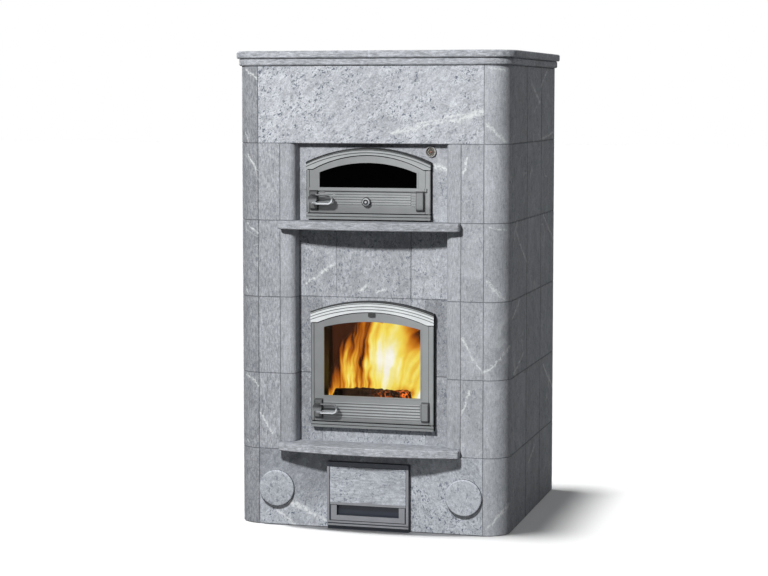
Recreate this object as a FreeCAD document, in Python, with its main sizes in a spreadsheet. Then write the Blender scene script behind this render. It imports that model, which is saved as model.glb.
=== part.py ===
import FreeCAD, Part
import math
import os

import Sketcher
from FreeCAD import Placement, Rotation, Vector

# Soapstone masonry heater with a bake oven above the firebox.
# Millimetres, +Z up, the front looks along -Y.
# The origin is the middle of the stone shell's footprint, on the floor.

doc = FreeCAD.newDocument("MasonryHeater")
sheet = doc.addObject("Spreadsheet::Sheet", "Size")

SIZES = [
    # Stone shell
    ("body_width", 1046, "shell width"),
    ("body_depth", 936, "shell depth"),
    ("course_height", 290, "height of one stone course"),
    ("corner_radius", 88, "quarter-round corner stones"),
    ("shell_thickness", 60, "shell stones"),
    ("arris", 2, "bevel on the edges of a visible stone face"),
    ("lower_cornice_thickness", 27, "lower top slab"),
    ("upper_cornice_thickness", 27, "upper top slab"),
    ("lower_cornice_overhang", 10, "lower top slab past the shell"),
    ("upper_cornice_overhang", 20, "upper top slab past the shell"),
    ("cornice_bevel", 4, "bevel on the edges of the top slabs"),
    # Recessed middle of the front
    ("front_flat_width", 86, "flat front stones beside the pilasters"),
    ("recess_depth", 60, "recess behind the front plane"),
    ("pilaster_width", 57, "pilaster stones"),
    ("pilaster_round", 25, "rounded inner edge of a pilaster"),
    ("panel_thickness", 60, "stones at the back of the recess"),
    ("panel_middle_width", 290, "middle panel stone between the doors"),
    ("shelf_thickness", 30, "stone shelves"),
    ("shelf_reach", 35, "shelf ends past the front plane"),
    ("shelf_bow", 40, "bow of a shelf's front edge"),
    ("shelf_corner", 8, "rounded front corners of a shelf"),
    ("shelf_bevel", 3, "bevel on a shelf's front edges"),
    # Core of the heater
    ("base_thickness", 40, "base slab inside the shell"),
    ("side_channel", 133, "smoke channel between the core and the side walls"),
    ("core_depth", 580, "core behind the panel stones"),
    ("core_wall", 80, "core side and back walls"),
    ("core_slab", 60, "floor, throat, oven and cap slabs"),
    ("throat_gap", 80, "smoke gap behind the throat slab and the oven floor"),
    ("oven_floor_drop", 10, "oven floor below the fifth course"),
    ("oven_ceiling_drop", 10, "oven ceiling below the sixth course"),
    ("crown_gap", 80, "smoke gap before the oven ceiling"),
    ("bearer_width", 120, "bearers under the cap slab"),
    ("ash_pit_side", 19, "plinth blocks set back from the ash opening"),
    ("plinth_rear_thickness", 100, "block at the back of the ash pit"),
    # Grate in the firebox floor
    ("grate_width", 220, "opening for the grate"),
    ("grate_depth", 270, "opening for the grate"),
    ("grate_setback", 110, "firebox front to the grate"),
    ("grate_thickness", 18, "grate below the firebox floor"),
    ("grate_lip", 12, "lip of the grate on the firebox floor"),
    ("grate_lip_thickness", 6, "lip of the grate"),
    ("grate_slot", 12, "slots of the grate"),
    ("grate_bar", 12, "bars of the grate"),
    ("grate_slots", 8, "number of slots"),
    # Flue outlet low in the back
    ("flue_radius", 77, "bore of the flue collar"),
    ("flue_wall", 8, "wall of the flue collar"),
    ("flue_flange", 18, "width of the collar's flange"),
    ("flue_flange_thickness", 6, "collar's flange"),
    ("flue_head", 40, "outlet stone above the flue hole"),
    ("flue_clearance", 0.3, "collar in the outlet stone"),
    # Soot doors in the bottom course
    ("soot_inset", 71, "soot covers' axes from the corner stones"),
    ("soot_height", 141, "soot covers' axes above the floor"),
    ("soot_face_radius", 69, "face of a soot cover"),
    ("soot_face_thickness", 13, "face of a soot cover"),
    ("soot_face_round", 5, "rounded edge of a soot cover"),
    ("soot_port_radius", 55, "port behind a soot cover"),
    ("soot_plug_length", 45, "plug of a soot cover"),
    # Oven door
    ("oven_shift", 15, "oven axis left of the heater's axis"),
    ("oven_bearing", 41, "door frame on the stone beside the opening"),
    ("oven_opening_lift", 38, "opening above the frame's bottom"),
    ("oven_opening_head", 46, "opening's crown below the frame's crown"),
    ("oven_opening_rise", 44, "rise of the opening's arch"),
    ("oven_frame_margin", 51, "door frame to the recess's sides"),
    ("oven_frame_lift", 6, "door frame above the upper shelf"),
    ("oven_frame_head", 16, "door frame's crown to the lintel stone"),
    ("oven_frame_rise", 54, "rise of the door frame's arch"),
    ("oven_band", 27, "moulded arch band"),
    ("oven_ridges", 3, "ridges of the arch band"),
    ("oven_stile", 52.5, "leaf beside the window"),
    ("oven_window_bottom", 119, "window above the frame's bottom"),
    ("oven_window_head", 56, "window's crown below the frame's crown"),
    ("oven_window_rise", 37, "rise of the window's arch"),
    ("oven_ribs", 5, "ribs under the window"),
    ("oven_rib_first", 59, "lowest rib above the frame's bottom"),
    ("oven_rib_top", 98, "highest rib above the frame's bottom"),
    ("oven_rib_height", 7, "ribs under the window"),
    ("oven_rib_inset", 75, "ribs' ends from the frame's sides"),
    ("oven_rib_end", 19, "short ribs between the ribs and the blocks"),
    ("oven_rib_end_inset", 54, "short ribs from the frame's sides"),
    ("oven_rib_end_height", 5, "short ribs"),
    ("oven_block_right", 25, "right block from the frame's right side"),
    # Firebox door
    ("firebox_bearing", 37.5, "door frame on the stone beside the opening"),
    ("firebox_opening_lift", 33, "opening above the frame's bottom"),
    ("firebox_lintel_height", 58, "lintel stone over the opening"),
    ("firebox_opening_rise", 20, "rise of the frame's sleeve"),
    ("firebox_frame_margin", 52.5, "door frame to the recess's sides"),
    ("firebox_frame_lift", 87, "door frame above the second course's bottom"),
    ("firebox_frame_head", 10, "door frame's crown to the panel stones"),
    ("firebox_frame_rise", 44, "rise of the door frame's arch"),
    ("firebox_band", 41, "moulded arch band"),
    ("firebox_ridges", 4, "ridges of the arch band"),
    ("firebox_stile", 51.5, "leaf beside the window"),
    ("firebox_window_bottom", 121, "window above the frame's bottom"),
    ("firebox_window_head", 78, "window's crown below the frame's crown"),
    ("firebox_window_rise", 24, "rise of the window's arch"),
    ("firebox_ribs", 6, "ribs under the window"),
    ("firebox_rib_first", 42, "lowest rib above the frame's bottom"),
    ("firebox_rib_top", 97, "highest rib above the frame's bottom"),
    ("firebox_rib_height", 6, "ribs under the window"),
    ("firebox_rib_inset", 52, "ribs' ends from the frame's sides"),
    ("firebox_block_right", 18, "right block from the frame's right side"),
    # Both doors
    ("frame_flange", 8, "frame's flange on the stone"),
    ("frame_proud", 30, "frame's band and rail before the stone"),
    ("frame_rail", 20, "frame's bottom rail"),
    ("frame_groove", 3, "grooves in the band and the rail"),
    ("sleeve_depth", 55, "frame's sleeve into the opening"),
    ("sleeve_wall", 6, "frame's sleeve"),
    ("sleeve_clearance", 2, "sleeve to the stone"),
    ("band_foot", 26, "level foot at each end of the band"),
    ("leaf_thickness", 16, "door leaf"),
    ("leaf_back_gap", 1, "door leaf to the flange"),
    ("leaf_side_gap", 1, "door leaf to the frame's side"),
    ("leaf_end_gap", 3.5, "door leaf to the band and the rail"),
    ("leaf_bead", 2, "raised mouldings of the leaf"),
    ("leaf_strip", 11, "raised strip along the leaf's sides"),
    ("leaf_round", 6, "rounded back of the leaf's hinge edge"),
    ("leaf_arris", 2, "rounded front of the leaf's hinge edge"),
    ("hinge_forward", 2, "hinge axis before the middle of the leaf"),
    ("window_bead", 5, "raised bead round the window"),
    ("glass_rebate", 10, "glass past the window"),
    ("glass_thickness", 5, "glass"),
    ("glass_clearance", 1, "glass to the rebate's side"),
    ("retainer_thickness", 3, "retaining ring behind the glass"),
    ("retainer_width", 8, "retaining ring behind the glass"),
    ("rope_web", 1.5, "leaf between the glass rebate and the seal groove"),
    ("rope_width", 5, "sealing rope"),
    ("rope_depth", 5, "groove for the sealing rope"),
    ("rope_clearance", 0.3, "sealing rope to the flange"),
    ("pin_radius", 4, "hinge pins"),
    ("pin_clearance", 0.05, "hinge pins, shafts and needle in their holes"),
    ("pin_seat", 12, "hinge pin in the frame"),
    ("pin_reach", 26, "hinge pin in the leaf"),
    ("sill_bar_bottom", 107, "bar under the oven window"),
    ("sill_bar_height", 12, "bar under the oven window"),
    ("sill_bar_proud", 10, "bar under the oven window"),
    ("rib_proud", 3, "ribs under the window"),
    ("block_inset", 18, "left block from the frame's left side"),
    ("block_width", 28, "blocks beside the ribs"),
    ("block_bottom", 34, "blocks above the frame's bottom"),
    ("block_height", 72, "blocks beside the ribs"),
    ("block_proud", 14, "blocks before the leaf"),
    ("block_bevel", 7, "bevelled ends of a block"),
    ("lug_width", 26, "lug at the crown of the firebox leaf"),
    ("lug_height", 14, "lug at the crown of the firebox leaf"),
    ("lug_proud", 7, "lug before the leaf"),
    ("lug_drop", 0.5, "lug below the crown of the leaf"),
    # Loop handles
    ("handle_inset", 31, "handle's pivot from the frame's left side"),
    ("handle_height", 76, "handle's pivot above the frame's bottom"),
    ("handle_length", 64, "straight legs of the loop"),
    ("handle_gap", 24, "between the legs' middles"),
    ("handle_depth", 26, "depth of the loop's strip"),
    ("handle_strip", 5, "thickness of the loop's strip"),
    ("handle_flare", 5, "loop wider in front than behind"),
    ("handle_clearance", 0.5, "handle to the block behind it"),
    ("handle_lift", 3, "back of the loop before the hub's back"),
    ("hub_radius", 17, "handle's hub"),
    ("hub_thickness", 12, "handle's hub"),
    ("shaft_radius", 6, "handle's shaft"),
    # Air knob in the oven door
    ("knob_shift", 4, "knob's axis left of the door's middle"),
    ("knob_height", 66, "knob's axis above the frame's bottom"),
    ("knob_radius", 17, "knob"),
    ("knob_thickness", 15, "knob"),
    ("knob_hollow", 10, "radius of the knob's hollow"),
    ("knob_hollow_depth", 4, "knob's hollow"),
    ("knob_button", 5, "radius of the button in the hollow"),
    ("knob_clearance", 0.5, "knob to the ribs"),
    ("knob_shaft", 5, "radius of the knob's shaft"),
    # Oven thermometer
    ("dial_inset", 70, "dial's axis from the right pilaster"),
    ("dial_drop", 30, "dial's axis below the lintel stone"),
    ("dial_radius", 20, "thermometer case"),
    ("dial_depth", 12, "thermometer case"),
    ("dial_rim", 3, "rim of the case"),
    ("dial_back", 2, "back of the case"),
    ("dial_post", 5, "needle's post on the back of the case"),
    ("dial_post_radius", 1.2, "needle's post"),
    ("dial_stem", 4, "radius of the thermometer's stem"),
    ("dial_stem_length", 150, "stem through the stone into the oven"),
    ("dial_stem_clearance", 0.3, "stem in the stone"),
    ("needle_length", 14, "needle's tip from its axis"),
    ("needle_tail", 5, "needle's tail from its axis"),
    ("needle_width", 2.4, "needle"),
    ("needle_thickness", 1, "needle"),
    ("needle_hub", 3, "radius of the needle's hub"),
    ("needle_seat", 2.7, "needle before the back of the case"),
    ("lens_thickness", 2, "lens"),
    ("lens_setback", 1, "lens behind the rim's edge"),
    # Ash frame, drawer and air slide in the bottom course
    ("ash_opening_width", 292, "opening between the base stones"),
    ("ash_lintel_height", 44, "stone over the ash frame"),
    ("ash_frame_cover", 12, "ash frame on the stone beside the opening"),
    ("ash_frame_bottom", 15, "foot under the ash frame's bottom rail"),
    ("ash_frame_top_cover", 10, "ash frame on the stone over the opening"),
    ("ash_frame_proud", 28, "ash frame before the stone"),
    ("ash_foot_setback", 8, "foot behind the front of the ash frame"),
    ("ash_flange", 4, "ash frame's flange"),
    ("ash_post", 9, "ash frame's posts"),
    ("ash_top_rail", 16, "ash frame's top rail"),
    ("ash_bottom_rail", 18, "ash frame's bottom rail"),
    ("ash_rail_groove", 4, "groove along the bottom rail"),
    ("ash_sleeve_wall", 4, "ash frame's sleeve"),
    ("ash_gap", 2, "drawer and slide to the ash frame"),
    ("ash_back_gap", 2, "drawer and slide to the flange"),
    ("air_slide_height", 57, "air slide's front"),
    ("air_slide_front", 20, "air slide's front, thickness"),
    ("air_slide_leg", 26, "air slide's uprights beside the hand recess"),
    ("air_slide_bar", 19, "air slide's bar under the hand recess"),
    ("air_slide_hollow", 16, "depth of the hand recess"),
    ("air_skid_width", 12, "air slide's skids"),
    ("air_skid_spacing", 200, "between the skids' middles"),
    ("air_skid_depth", 60, "air slide's skids"),
    ("skid_clearance", 0.3, "drawer and slide over their runners"),
    ("drawer_plate", 6, "drawer's front plate"),
    ("drawer_stone", 14, "stone facing of the drawer"),
    ("drawer_lip", 9, "steel lip under the stone facing"),
    ("drawer_tab_width", 62, "finger tab on the lip"),
    ("drawer_tab_rise", 7, "finger tab on the lip"),
    ("drawer_tab_shift", 18, "tab's tall end right of the middle"),
    ("drawer_box_gap", 11, "ash box to the opening's sides"),
    ("drawer_box_head", 17, "ash box below the top of the drawer's front"),
    ("drawer_box_depth", 400, "ash box"),
    ("drawer_wall", 2, "ash box"),
    ("runner_thickness", 4, "angle runners under the ash box"),
    ("runner_overlap", 12, "runners under the ash box"),
]

for row, (alias, number, meaning) in enumerate(SIZES, start=1):
    sheet.set(f"A{row}", meaning)
    sheet.set(f"B{row}", str(number))
    sheet.setAlias(f"B{row}", alias)
doc.recompute()

COURSES = 6
SIDE_STONES = 3
REAR_STONES = 3

# Reference planes of the heater, as expressions of the sheet's sizes.
RIGHT = "(Size.body_width / 2)"
REAR = "(Size.body_depth / 2)"
FRONT = "(-Size.body_depth / 2)"
RECESS = f"({FRONT} + Size.recess_depth)"
PANEL_BACK = f"({RECESS} + Size.panel_thickness)"
INNER_RIGHT = f"({RIGHT} - Size.shell_thickness)"
INNER_FRONT = f"({FRONT} + Size.shell_thickness)"
INNER_REAR = f"({REAR} - Size.shell_thickness)"
CORNER = f"({RIGHT} - Size.corner_radius)"
PILASTER_OUT = f"({CORNER} - Size.front_flat_width)"
PILASTER_IN = f"({PILASTER_OUT} - Size.pilaster_width)"
SHELL_TOP = f"({COURSES} * Size.course_height)"
SOOT_X = f"({CORNER} - Size.soot_inset)"
ASH_OPENING_TOP = "(Size.course_height - Size.ash_lintel_height)"
ASH_FRAME_WIDTH = "(Size.ash_opening_width + 2 * Size.ash_frame_cover)"
ASH_FRAME_HEIGHT = f"({ASH_OPENING_TOP} + Size.ash_frame_top_cover - Size.ash_frame_bottom)"
HALF_PIT = "(Size.ash_opening_width / 2 + Size.ash_pit_side)"
ROPE_INSET = "(Size.glass_rebate + Size.rope_web)"
FLUE_HOLE = "(Size.flue_radius + Size.flue_wall)"
FLUE_Z = f"(Size.course_height - Size.flue_head - {FLUE_HOLE})"
DIAL_X = f"({PILASTER_IN} - Size.dial_inset)"
DIAL_Z = f"({COURSES - 1} * Size.course_height - Size.dial_drop)"

nodes = []


def value(expression):
    """Number that an expression of sheet sizes stands for."""
    return float(sheet.evalExpression(expression))


def course(number):
    """Height of the bottom of a course, counted from 1 at the floor."""
    return f"({number - 1} * Size.course_height)"


def place(obj, x="0", y="0", z="0"):
    obj.setExpression("Placement.Base.x", x)
    obj.setExpression("Placement.Base.y", y)
    obj.setExpression("Placement.Base.z", z)
    return obj


def node(obj):
    """Keep an object as one of the sub-parts that are written out."""
    nodes.append(obj)
    return obj


def new_body(label, x="0", y="0", z="0", turn=0):
    body = doc.addObject("PartDesign::Body", label)
    body.Label = label
    body.Placement = Placement(Vector(), Rotation(Vector(0, 0, 1), turn))
    return place(body, x, y, z)


def new_sketch(body, plane, offset="0"):
    """Sketch on one of the body's own planes, moved along the plane's normal.

    On XZ_Plane the sketch's axes are X and Z and its normal is -Y, out of the heater's front.
    """
    sketch = body.newObject("Sketcher::SketchObject", f"{body.Name}_sketch")
    support = [feature for feature in body.Origin.OriginFeatures if feature.Role == plane]
    sketch.AttachmentSupport = [(support[0], "")]
    sketch.MapMode = "FlatFace"
    sketch.setExpression("AttachmentOffset.Base.z", offset)
    return sketch


def dimension(sketch, kind, geometry, point, expression):
    """Tie one coordinate of a point to the sketch's origin by an expression."""
    number = value(expression)
    if abs(number) < 1e-9:
        axis = -2 if kind == "DistanceX" else -1
        sketch.addConstraint(Sketcher.Constraint("PointOnObject", geometry, point, axis))
        return
    ends = (-1, 1, geometry, point) if number > 0 else (geometry, point, -1, 1)
    index = sketch.addConstraint(Sketcher.Constraint(kind, *ends, abs(number)))
    name = f"{kind}{index}"
    sketch.renameConstraint(index, name)
    sketch.setExpression(f"Constraints.{name}", expression if number > 0 else f"-({expression})")


def radius_of(sketch, geometry, expression):
    index = sketch.addConstraint(Sketcher.Constraint("Radius", geometry, value(expression)))
    name = f"Radius{index}"
    sketch.renameConstraint(index, name)
    sketch.setExpression(f"Constraints.{name}", expression)


def add_arc(sketch, start, end, side, radius):
    """Arc from start to end that swells to the right (side 1) or the left (side -1) of its travel."""
    half_chord = (end - start) * 0.5
    across = Vector(half_chord.y, -half_chord.x, 0).normalize() * side
    centre = start + half_chord - across * math.sqrt(max(radius**2 - half_chord.Length**2, 0))
    first, last = (start, end) if side > 0 else (end, start)
    angles = [math.atan2(point.y - centre.y, point.x - centre.x) for point in (first, last)]
    circle = Part.Circle(centre, Vector(0, 0, 1), radius)
    return sketch.addGeometry(Part.ArcOfCircle(circle, *angles), False)


def outline(sketch, corners, arcs=None, closed=True):
    """Outline through corners, given anticlockwise as pairs of expressions.

    arcs maps a side's index to its side of swelling and the expression of its radius.
    A radius of None makes a half circle over an upright side.
    """
    arcs = arcs or {}
    points = [Vector(value(x), value(y), 0) for x, y in corners]
    sides = len(points) if closed else len(points) - 1
    edges = []
    for side in range(sides):
        start = points[side]
        end = points[(side + 1) % len(points)]
        if side in arcs:
            swell, radius = arcs[side]
            length = value(radius) if radius else start.distanceToPoint(end) / 2
            geometry = add_arc(sketch, start, end, swell, length)
            ends = (1, 2) if swell > 0 else (2, 1)
            edges.append((geometry, *ends))
        else:
            geometry = sketch.addGeometry(Part.LineSegment(start, end), False)
            edges.append((geometry, 1, 2))
    for side in range(sides if closed else sides - 1):
        here, following = edges[side], edges[(side + 1) % sides]
        sketch.addConstraint(Sketcher.Constraint("Coincident", here[0], here[2], following[0], following[1]))
    for side, (geometry, first, last) in enumerate(edges):
        dimension(sketch, "DistanceX", geometry, first, corners[side][0])
        dimension(sketch, "DistanceY", geometry, first, corners[side][1])
    if not closed:
        dimension(sketch, "DistanceX", edges[-1][0], edges[-1][2], corners[-1][0])
        dimension(sketch, "DistanceY", edges[-1][0], edges[-1][2], corners[-1][1])
    for side, (swell, radius) in arcs.items():
        if radius:
            radius_of(sketch, edges[side][0], radius)
        else:
            dimension(sketch, "DistanceX", edges[side][0], 3, corners[side][0])


def rectangle(sketch, left, bottom, right, top):
    outline(sketch, [(left, bottom), (right, bottom), (right, top), (left, top)])


def circle(sketch, x, y, radius):
    centre = Vector(value(x), value(y), 0)
    geometry = sketch.addGeometry(Part.Circle(centre, Vector(0, 0, 1), value(radius)), False)
    dimension(sketch, "DistanceX", geometry, 3, x)
    dimension(sketch, "DistanceY", geometry, 3, y)
    radius_of(sketch, geometry, radius)


def arch_radius(chord, rise):
    return f"((({chord})^2 / 4 + ({rise})^2) / (2 * ({rise})))"


def arched(sketch, left, bottom, right, spring, rise):
    """Upright outline with an arched top; spring is the height of the arch's ends."""
    corners = [(left, bottom), (right, bottom), (right, spring), (left, spring)]
    outline(sketch, corners, {2: (1, arch_radius(f"{right} - ({left})", rise))})


def pad(body, sketch, length, reverse=False):
    feature = body.newObject("PartDesign::Pad", f"{body.Name}_pad")
    feature.Profile = sketch
    feature.Reversed = reverse
    feature.setExpression("Length", length)
    return feature


def pocket(body, sketch, length, reverse=False):
    feature = body.newObject("PartDesign::Pocket", f"{body.Name}_pocket")
    feature.Profile = sketch
    feature.Reversed = reverse
    feature.setExpression("Length", length)
    return feature


def revolve(body, sketch):
    """Full turn about the sketch's vertical axis."""
    feature = body.newObject("PartDesign::Revolution", f"{body.Name}_turn")
    feature.Profile = sketch
    feature.ReferenceAxis = (sketch, ["V_Axis"])
    feature.Angle = 360
    return feature


def dress(body, kind, base, names, size):
    """Chamfer or fillet named edges or faces of the body's last feature."""
    feature = body.newObject(f"PartDesign::{kind}", f"{body.Name}_{kind.lower()}")
    feature.Base = (base, names)
    feature.setExpression("Radius" if kind == "Fillet" else "Size", size)
    return feature


def faces_where(feature, test):
    doc.recompute()
    return [f"Face{i}" for i, face in enumerate(feature.Shape.Faces, 1) if test(face)]


def edges_where(feature, test):
    doc.recompute()
    return [f"Edge{i}" for i, edge in enumerate(feature.Shape.Edges, 1) if test(edge)]


def upright(edge):
    return edge.BoundBox.XLength < 1e-6 and edge.BoundBox.YLength < 1e-6


def at_front(feature):
    """Test for the faces that lie in the feature's front plane."""
    doc.recompute()
    front = feature.Shape.BoundBox.YMin
    return lambda face: abs(face.BoundBox.YMax - front) < 1e-6


def straight_front_edges(feature):
    """Names of the straight edges round the feature's front face."""
    front = faces_where(feature, at_front(feature))[0]
    edges = feature.Shape.getElement(front).Edges
    straight = [edge for edge in edges if edge.Curve.TypeId == "Part::GeomLine"]
    return edges_where(feature, lambda edge: any(edge.isSame(other) for other in straight))


def block(label, left, right, front, rear, bottom, top):
    """Plain sawn block between six planes."""
    box = doc.addObject("Part::Box", label)
    box.Label = label
    box.setExpression("Length", f"{right} - ({left})")
    box.setExpression("Width", f"{rear} - ({front})")
    box.setExpression("Height", f"{top} - ({bottom})")
    return place(box, left, front, bottom)


def group(label, members):
    compound = doc.addObject("Part::Compound", label)
    compound.Label = label
    compound.Links = members
    return node(compound)


def copies(label, master, places, turn=0):
    """One node of equal stones, each a copy of the master at its own place."""
    members = []
    for x, y, z in places:
        link = doc.addObject("App::Link", f"{label}_copy")
        link.LinkedObject = master
        link.Placement = Placement(Vector(), Rotation(Vector(0, 0, 1), turn))
        members.append(place(link, x, y, z))
    return group(label, members)


def facing_stone(label, width, height, thickness, x="0", y="0", z="0"):
    """Slab with its back at y and its face towards -Y, the face's edges bevelled."""
    body = new_body(label, x, y, z)
    sketch = new_sketch(body, "XZ_Plane")
    rectangle(sketch, "0", "0", width, height)
    slab = pad(body, sketch, thickness)
    dress(body, "Chamfer", slab, faces_where(slab, at_front(slab)), "Size.arris")
    return body


def corner_stones():
    """Two columns of quarter-round stones at the front corners."""
    master = new_body("corner_stone")
    sketch = new_sketch(master, "XY_Plane")
    reach = "Size.corner_radius"
    corners = [("0", "0"), ("0", f"-{reach}"), (reach, "0")]
    outline(sketch, corners, {1: (1, reach)})
    stone = pad(master, sketch, "Size.course_height")
    round_face = faces_where(stone, lambda face: isinstance(face.Surface, Part.Cylinder))
    dress(master, "Chamfer", stone, round_face, "Size.arris")
    levels = [course(number) for number in range(1, COURSES + 1)]
    middle = f"({FRONT} + {reach})"
    copies("corner_stones_right", master, [(CORNER, middle, level) for level in levels])
    copies("corner_stones_left", master, [(f"-{CORNER}", middle, level) for level in levels], turn=-90)


def side_stones():
    """Two flat side walls and the flat back, in courses."""
    length = f"((Size.body_depth - Size.corner_radius) / {SIDE_STONES})"
    master = facing_stone("side_stone", length, "Size.course_height", "Size.shell_thickness")
    right, left = [], []
    for number in range(1, COURSES + 1):
        for step in range(SIDE_STONES):
            start = f"{FRONT} + Size.corner_radius + {step} * {length}"
            right.append((INNER_RIGHT, start, course(number)))
            left.append((f"-{INNER_RIGHT}", f"{REAR} - {step} * {length}", course(number)))
    copies("side_stones_right", master, right, turn=90)
    copies("side_stones_left", master, left, turn=-90)


def rear_stones():
    width = f"(2 * {INNER_RIGHT} / {REAR_STONES})"
    master = facing_stone("rear_stone", width, "Size.course_height", "Size.shell_thickness")
    places = []
    for number in range(1, COURSES + 1):
        for step in range(REAR_STONES):
            if (number, step) != (1, 1):
                places.append((f"{INNER_RIGHT} - {step} * {width}", INNER_REAR, course(number)))
    copies("rear_stones", master, places, turn=180)
    outlet = new_body("rear_outlet_stone", f"{width} / 2", INNER_REAR, "0", turn=180)
    sketch = new_sketch(outlet, "XZ_Plane")
    rectangle(sketch, "0", "0", width, "Size.course_height")
    circle(sketch, f"{width} / 2", FLUE_Z, FLUE_HOLE)
    slab = pad(outlet, sketch, "Size.shell_thickness")
    dress(outlet, "Chamfer", slab, straight_front_edges(slab), "Size.arris")
    node(outlet)


def flue_collar():
    """Cast collar in the outlet stone, its flange on the heater's back."""
    collar = new_body("flue_collar", "0", REAR, FLUE_Z)
    collar.Placement.Rotation = Rotation(Vector(1, 0, 0), -90)
    sketch = new_sketch(collar, "XZ_Plane")
    bore = "Size.flue_radius"
    outer = f"({FLUE_HOLE} - Size.flue_clearance)"
    flange = f"({outer} + Size.flue_flange)"
    back = "-Size.shell_thickness"
    lip = "Size.flue_flange_thickness"
    outline(sketch, [(bore, back), (outer, back), (outer, "0"), (flange, "0"), (flange, lip), (bore, lip)])
    revolve(collar, sketch)
    node(collar)


def front_stones():
    """Flat stones and rounded pilaster stones on both sides of the recess."""
    flat_width = f"({CORNER} - {PILASTER_OUT})"
    flat = facing_stone("front_stone", flat_width, "Size.course_height", "Size.shell_thickness")
    levels = [course(number) for number in range(2, COURSES)]
    copies("front_stones_right", flat, [(PILASTER_OUT, INNER_FRONT, level) for level in levels])
    copies("front_stones_left", flat, [(f"-{CORNER}", INNER_FRONT, level) for level in levels])
    lower_shelf_top = f"({course(2)} + Size.shelf_thickness)"
    upper_shelf_bottom = f"({course(5)} - Size.shelf_thickness)"
    spans = [
        (lower_shelf_top, course(3)),
        (course(3), course(4)),
        (course(4), upper_shelf_bottom),
        (course(5), course(6)),
    ]
    for name, side in (("right", 1), ("left", -1)):
        members = []
        for bottom, top in spans:
            members.append(pilaster(f"pilaster_{name}", side, bottom, top))
        group(f"pilaster_stones_{name}", members)


def pilaster(label, side, bottom, top):
    """Pilaster stone whose inner front edge is rounded; side is 1 on the right."""
    inner, outer = (PILASTER_IN, PILASTER_OUT) if side > 0 else (f"-{PILASTER_OUT}", f"-{PILASTER_IN}")
    body = new_body(label, inner, RECESS, bottom)
    sketch = new_sketch(body, "XY_Plane")
    rectangle(sketch, "0", "-Size.recess_depth", f"{outer} - ({inner})", "0")
    stone = pad(body, sketch, f"{top} - {bottom}")
    round_x = 0 if side > 0 else value("Size.pilaster_width")
    front_y = -value("Size.recess_depth")

    def inner_edge(edge):
        point = edge.CenterOfMass
        return upright(edge) and abs(point.x - round_x) < 1e-6 and abs(point.y - front_y) < 1e-6

    rounded = dress(body, "Fillet", stone, edges_where(stone, inner_edge), "Size.pilaster_round")
    front = faces_where(rounded, at_front(rounded))
    dress(body, "Chamfer", rounded, level_edges(rounded, front), "Size.arris")
    return body


def level_edges(feature, faces):
    """Names of the level edges of some faces."""
    wanted = []
    for name in faces:
        wanted += [edge for edge in feature.Shape.getElement(name).Edges if edge.BoundBox.ZLength < 1e-6]
    return edges_where(feature, lambda edge: any(edge.isSame(other) for other in wanted))


def panel_stones(door):
    """Stones at the back of the recess and the lintel stone over it."""
    half_door = f"({door.opening} / 2)"
    jamb = f"({PILASTER_OUT} - {half_door})"
    thick = "Size.panel_thickness"
    jamb_stone = facing_stone("jamb_stone", jamb, "Size.course_height", thick)
    places = []
    for left in (f"-{PILASTER_OUT}", half_door):
        for number in (2, 3):
            places.append((left, PANEL_BACK, course(number)))
    copies("firebox_jamb_stones", jamb_stone, places)
    sill_height = "(Size.firebox_frame_lift + Size.firebox_opening_lift)"
    node(facing_stone("firebox_sill_stone", door.opening, sill_height, thick,
                      f"-{half_door}", PANEL_BACK, course(2)))
    lintel_height = "Size.firebox_lintel_height"
    node(facing_stone("firebox_lintel_stone", door.opening, lintel_height, thick,
                      f"-{half_door}", PANEL_BACK, f"{course(4)} - {lintel_height}"))
    half_middle = "(Size.panel_middle_width / 2)"
    outer_width = f"({PILASTER_OUT} - {half_middle})"
    middle = facing_stone("panel_middle", "Size.panel_middle_width", "Size.course_height", thick,
                          f"-{half_middle}", PANEL_BACK, course(4))
    right = facing_stone("panel_right", outer_width, "Size.course_height", thick,
                         half_middle, PANEL_BACK, course(4))
    left = facing_stone("panel_left", outer_width, "Size.course_height", thick,
                        f"-{PILASTER_OUT}", PANEL_BACK, course(4))
    group("panel_stones", [left, middle, right])
    lintel_width = f"(2 * {CORNER})"
    node(facing_stone("top_lintel_stone", lintel_width, "Size.course_height", "Size.shell_thickness",
                      f"-{CORNER}", INNER_FRONT, course(COURSES)))


def oven_surround_stone(door):
    """Stone round the oven door, with the arched opening and the hole for the thermometer's stem."""
    body = new_body("oven_surround_stone", f"-{PILASTER_OUT}", PANEL_BACK, course(5))
    sketch = new_sketch(body, "XZ_Plane")
    rectangle(sketch, "0", "0", f"2 * {PILASTER_OUT}", "Size.course_height")
    left = f"({PILASTER_OUT} - Size.oven_shift - {door.opening} / 2)"
    bottom = "(Size.oven_frame_lift + Size.oven_opening_lift)"
    spring = f"(Size.oven_frame_lift + {door.height} - Size.oven_opening_head - Size.oven_opening_rise)"
    arched(sketch, left, bottom, f"{left} + {door.opening}", spring, "Size.oven_opening_rise")
    circle(sketch, f"{PILASTER_OUT} + {DIAL_X}", "Size.course_height - Size.dial_drop",
           "Size.dial_stem + Size.dial_stem_clearance")
    pad(body, sketch, "Size.panel_thickness")
    node(body)


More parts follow.
